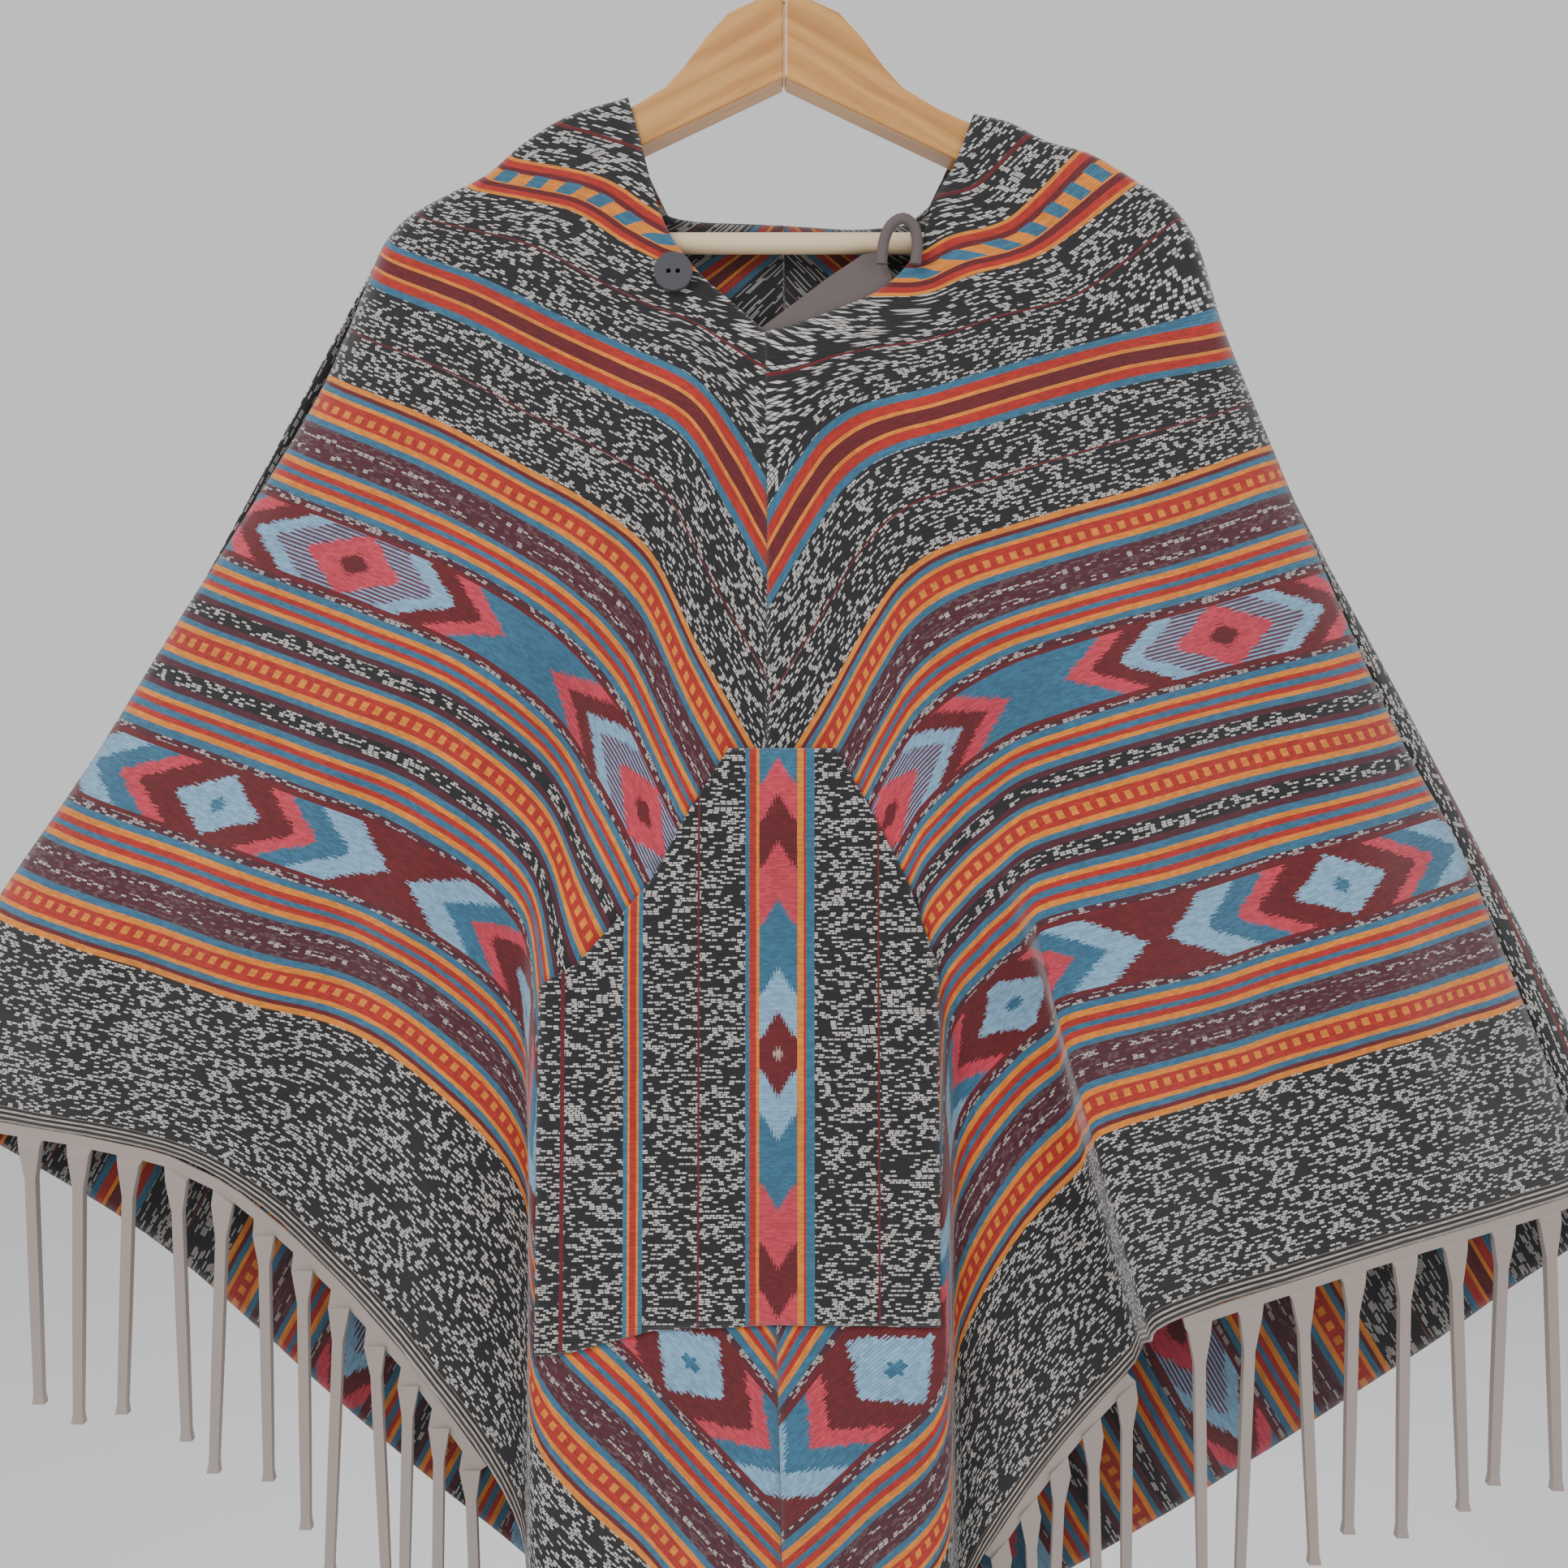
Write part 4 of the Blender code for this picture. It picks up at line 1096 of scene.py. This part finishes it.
class StrandTree:
    """Geometry Nodes that turn edges into round yarns, each point with its own thickness."""

    def __init__(self) -> None:
        """Build the node group."""
        tree = bpy.data.node_groups.new("Yarns along edges", "GeometryNodeTree")
        tree.interface.new_socket("Geometry", in_out="INPUT", socket_type="NodeSocketGeometry")
        self.sides = tree.interface.new_socket("Sides", in_out="INPUT", socket_type="NodeSocketInt").identifier
        self.finish = tree.interface.new_socket("Finish", in_out="INPUT", socket_type="NodeSocketMaterial").identifier
        tree.interface.new_socket("Geometry", in_out="OUTPUT", socket_type="NodeSocketGeometry")
        add, link = tree.nodes.new, tree.links.new
        start, end = add("NodeGroupInput"), add("NodeGroupOutput")
        curve = add("GeometryNodeMeshToCurve")
        thickness = add("GeometryNodeInputNamedAttribute")
        thickness.data_type = "FLOAT"
        thickness.inputs["Name"].default_value = "thickness"
        radius = add("GeometryNodeSetCurveRadius")
        ring = add("GeometryNodeCurvePrimitiveCircle")
        ring.inputs["Radius"].default_value = 1.0
        tube = add("GeometryNodeCurveToMesh")
        tube.inputs["Fill Caps"].default_value = True
        smooth = add("GeometryNodeSetShadeSmooth")
        realize = add("GeometryNodeRealizeInstances")
        paint = add("GeometryNodeSetMaterial")
        link(start.outputs["Geometry"], curve.inputs[0])
        link(curve.outputs[0], radius.inputs["Curve"])
        link(thickness.outputs["Attribute"], radius.inputs["Radius"])
        link(start.outputs["Sides"], ring.inputs["Resolution"])
        link(radius.outputs[0], tube.inputs["Curve"])
        link(ring.outputs[0], tube.inputs["Profile Curve"])
        link(tube.outputs[0], smooth.inputs[0])
        link(smooth.outputs[0], realize.inputs[0])
        link(realize.outputs[0], paint.inputs["Geometry"])
        link(start.outputs["Finish"], paint.inputs["Material"])
        link(paint.outputs[0], end.inputs[0])
        self.tree = tree

    def grow(self, name: str, strands: Sequence["Strand"], sides: int, finish: bpy.types.Material) -> bpy.types.Object:
        """Turn strands into one plain mesh.

        Args:
            name: The piece's name.
            strands: The yarns.
            sides: How many sides a yarn has.
            finish: Its material.

        Returns:
            The piece.
        """
        points: list = []
        edges: list = []
        thickness: list = []
        shade: list = []
        for strand in strands:
            first = len(points)
            points.extend((p * MM).tolist() for p in np.asarray(strand.points, float))
            edges.extend((first + k, first + k + 1) for k in range(len(strand.points) - 1))
            thickness.extend(np.broadcast_to(strand.radius, len(strand.points)) * MM)
            shade.extend([strand.shade] * len(strand.points))
        mesh = bpy.data.meshes.new(f"{name}_lines")
        mesh.from_pydata(points, edges, [])
        mesh.attributes.new("thickness", "FLOAT", "POINT").data.foreach_set("value", np.array(thickness, np.float32))
        mesh.attributes.new("shade", "FLOAT", "POINT").data.foreach_set("value", np.array(shade, np.float32))
        item = bpy.data.objects.new(name, mesh)
        bpy.context.scene.collection.objects.link(item)
        modifier = item.modifiers.new("Yarns", "NODES")
        modifier.node_group = self.tree
        modifier[self.sides] = sides
        modifier[self.finish] = finish
        bpy.context.view_layer.update()
        ready = item.evaluated_get(bpy.context.evaluated_depsgraph_get())
        plain = bpy.data.meshes.new_from_object(ready)
        item.modifiers.clear()
        item.data = plain
        plain.name = name
        return item


@dataclass
class Strand:
    """One yarn: its points in millimetres, its radius and its shade, 0 light to 1 dark."""

    points: np.ndarray
    radius: Any
    shade: float


@dataclass
class Fringe:
    """A stretch of cords knotted from the ends of the hem's yarns."""

    name: str
    hem: np.ndarray
    down: np.ndarray
    out: np.ndarray
    seed: int
    pitch: float = 30.0
    length: float = 140.0
    ply_radius: float = 1.5
    twist: float = 16.0

    def marks(self) -> list[tuple[np.ndarray, np.ndarray, np.ndarray, float]]:
        """Where each cord hangs: a point of the hem, the hem's direction, out of the cloth, and its distance along."""
        steps = np.linalg.norm(np.diff(self.hem, axis=0), axis=1)
        reach = np.concatenate([[0], np.cumsum(steps)])
        count = max(1, round(reach[-1] / self.pitch))
        found = []
        for number in range(count):
            at = reach[-1] * (number + 0.5) / count
            point = np.array([np.interp(at, reach, self.hem[:, k]) for k in range(3)])
            onward = np.array([np.interp(at + 4, reach, self.hem[:, k]) for k in range(3)]) - point
            out = np.array([np.interp(at, reach, self.out[:, k]) for k in range(3)])
            found.append((point, onward / np.linalg.norm(onward), out, at))
        return found

    def strands(self) -> list[Strand]:
        """Every yarn of the stretch."""
        random = np.random.default_rng(self.seed)
        made = []
        for point, onward, out, _ in self.marks():
            lean = random.normal(0, 0.05)
            sway = np.array([lean, random.normal(0, 0.015), -1.0])
            sway /= np.linalg.norm(sway)
            knot = point + sway * random.uniform(19, 25) + np.array([onward[0] * random.normal(0, 3), 0, 0])
            made += self.flare(point, onward, knot, random)
            made += self.cord(knot, sway, random)
        return made

    def flare(self, point: np.ndarray, onward: np.ndarray, knot: np.ndarray, random: Any) -> list[Strand]:
        """The loose yarns between the hem and a cord's head."""
        made = []
        for number in range(11):
            share = number / 10 - 0.5
            root = point + onward * share * self.pitch * 0.92 + np.array([0, 0, 1.0])
            bow = np.array([0, random.normal(0, 0.8) - 0.5, 0])
            middle = (root + knot) / 2 + bow + np.array([share * 3.0, 0, -1.5])
            line = np.array([root, root * 0.6 + middle * 0.4, middle, middle * 0.4 + knot * 0.6, knot])
            made.append(Strand(line, np.array([0.95, 0.9, 0.9, 0.85, 0.8]), float(number % 2 * 0.75)))
        return made

    def cord(self, head: np.ndarray, sway: np.ndarray, random: Any) -> list[Strand]:
        """A cord of two twisted plies, with a loose tuft at its end."""
        long = self.length * random.uniform(0.86, 0.99) - 22
        count = 34
        share = np.linspace(0, 1, count)
        bend = random.normal(0, 3.2)
        drift = random.normal(0, 2.4)
        line = head + sway * (share * long)[:, None]
        line[:, 0] += bend * np.sin(share * math.pi) + drift * share**2
        line[:, 1] += random.normal(0, 1.2) * np.sin(share * math.pi)
        made = []
        turn = random.uniform(0, 6.28)
        for ply in (0, 1):
            angle = turn + ply * math.pi + share * long / self.twist * 2 * math.pi
            around = np.stack([np.cos(angle), np.sin(angle), np.zeros(count)], axis=1) * self.ply_radius * 0.92
            radius = self.ply_radius * (1 - 0.12 * share)
            made.append(Strand(line + around, radius, 0.05 if ply else 0.85))
        end = line[-1]
        for number in range(6):
            spread_out = np.array([random.normal(0, 2.6), random.normal(0, 1.4), -random.uniform(8, 14)])
            tail = np.array([end, end + spread_out * 0.5, end + spread_out])
            made.append(Strand(tail, np.array([0.9, 0.7, 0.45]), float(number % 2 * 0.8)))
        return made

    def build(self, tree: StrandTree, finish: bpy.types.Material) -> bpy.types.Object:
        """Make and settle the stretch."""
        item = tree.grow(self.name, self.strands(), 6, finish)
        return settle(item, Slot.YARN, self.name)


def camera() -> bpy.types.Object:
    """The camera, level and square on to the front, as in the picture."""
    distance, height, across = 0.95, -0.491, 0.85
    data = bpy.data.cameras.new("camera")
    data.sensor_width = 36.0
    data.lens = data.sensor_width * distance / across
    item = bpy.data.objects.new("camera", data)
    item.location = (0.0, -distance, height)
    item.rotation_euler = (math.radians(90), 0.0, 0.0)
    bpy.context.scene.collection.objects.link(item)
    bpy.context.scene.camera = item
    return item


@dataclass
class Studio:
    """A plain pale floor, a pale surround and soft lamps."""

    floor_z: float = -1.7

    def build(self) -> None:
        """Make the floor, the surround and the lamps."""
        bpy.ops.mesh.primitive_plane_add(size=14, location=(0, 0, self.floor_z))
        floor = bpy.context.object
        floor.name = "floor"
        floor.data.transform(floor.matrix_world)
        floor.matrix_world.identity()
        plain = Graph("floor", Base_Color=(0.8, 0.8, 0.8, 1), Roughness=0.9)
        floor.data.materials.append(plain.material)
        world = bpy.data.worlds.new("surround")
        world.use_nodes = True
        world.node_tree.nodes["Background"].inputs["Color"].default_value = (0.93, 0.93, 0.94, 1)
        world.node_tree.nodes["Background"].inputs["Strength"].default_value = 0.85
        bpy.context.scene.world = world
        self.lamp("key", (-1.5, -2.0, 1.0), 46.0, 1.4)
        self.lamp("fill", (1.9, -1.6, -0.1), 12.0, 1.6)
        self.lamp("back", (0.6, 2.2, 0.8), 26.0, 1.6)

    def lamp(self, name: str, place: Point3, power: float, size: float) -> None:
        """Add a soft lamp turned to the garment's middle."""
        data = bpy.data.lights.new(name, "AREA")
        data.energy, data.size = power, size
        item = bpy.data.objects.new(name, data)
        item.location = place
        item.rotation_euler = (Vector((0, 0, -0.55)) - Vector(place)).to_track_quat("-Z", "Y").to_euler()
        bpy.context.scene.collection.objects.link(item)


def main() -> None:
    """Build the camera, the studio, the cloth pieces and the hanger arms' finish, in order."""
    camera()
    Studio().build()
    panels = {
        "front_left": Panel("front_left", FRONT_LEFT, FRONT_LEFT_NECK, SHOULDER_LEFT, Facing.FRONT, -1, FOLDS_FRONT_LEFT),
        "front_right": Panel(
            "front_right", FRONT_RIGHT, FRONT_RIGHT_NECK, SHOULDER_RIGHT, Facing.FRONT, 1, FOLDS_FRONT_RIGHT
        ),
        "back_left": Panel("back_left", BACK_LEFT, BACK_LEFT_NECK, SHOULDER_LEFT, Facing.BACK, -1, FOLDS_BACK_LEFT),
        "back_right": Panel("back_right", BACK_RIGHT, BACK_RIGHT_NECK, SHOULDER_RIGHT, Facing.BACK, 1, FOLDS_BACK_RIGHT),
    }
    for panel in panels.values():
        panel.build()
    Hood().build()
    surface = surface_of(panels["front_left"].grid, panels["front_right"].grid)
    Pocket().build(surface)
    for node in ("hanger_arm_left", "hanger_arm_right"):
        slope = 0.53 if node.endswith("left") else -0.53
        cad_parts[node].data.materials.clear()
        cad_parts[node].data.materials.append(Pine(node, slope).material())


if __name__ == "__main__":
    main()
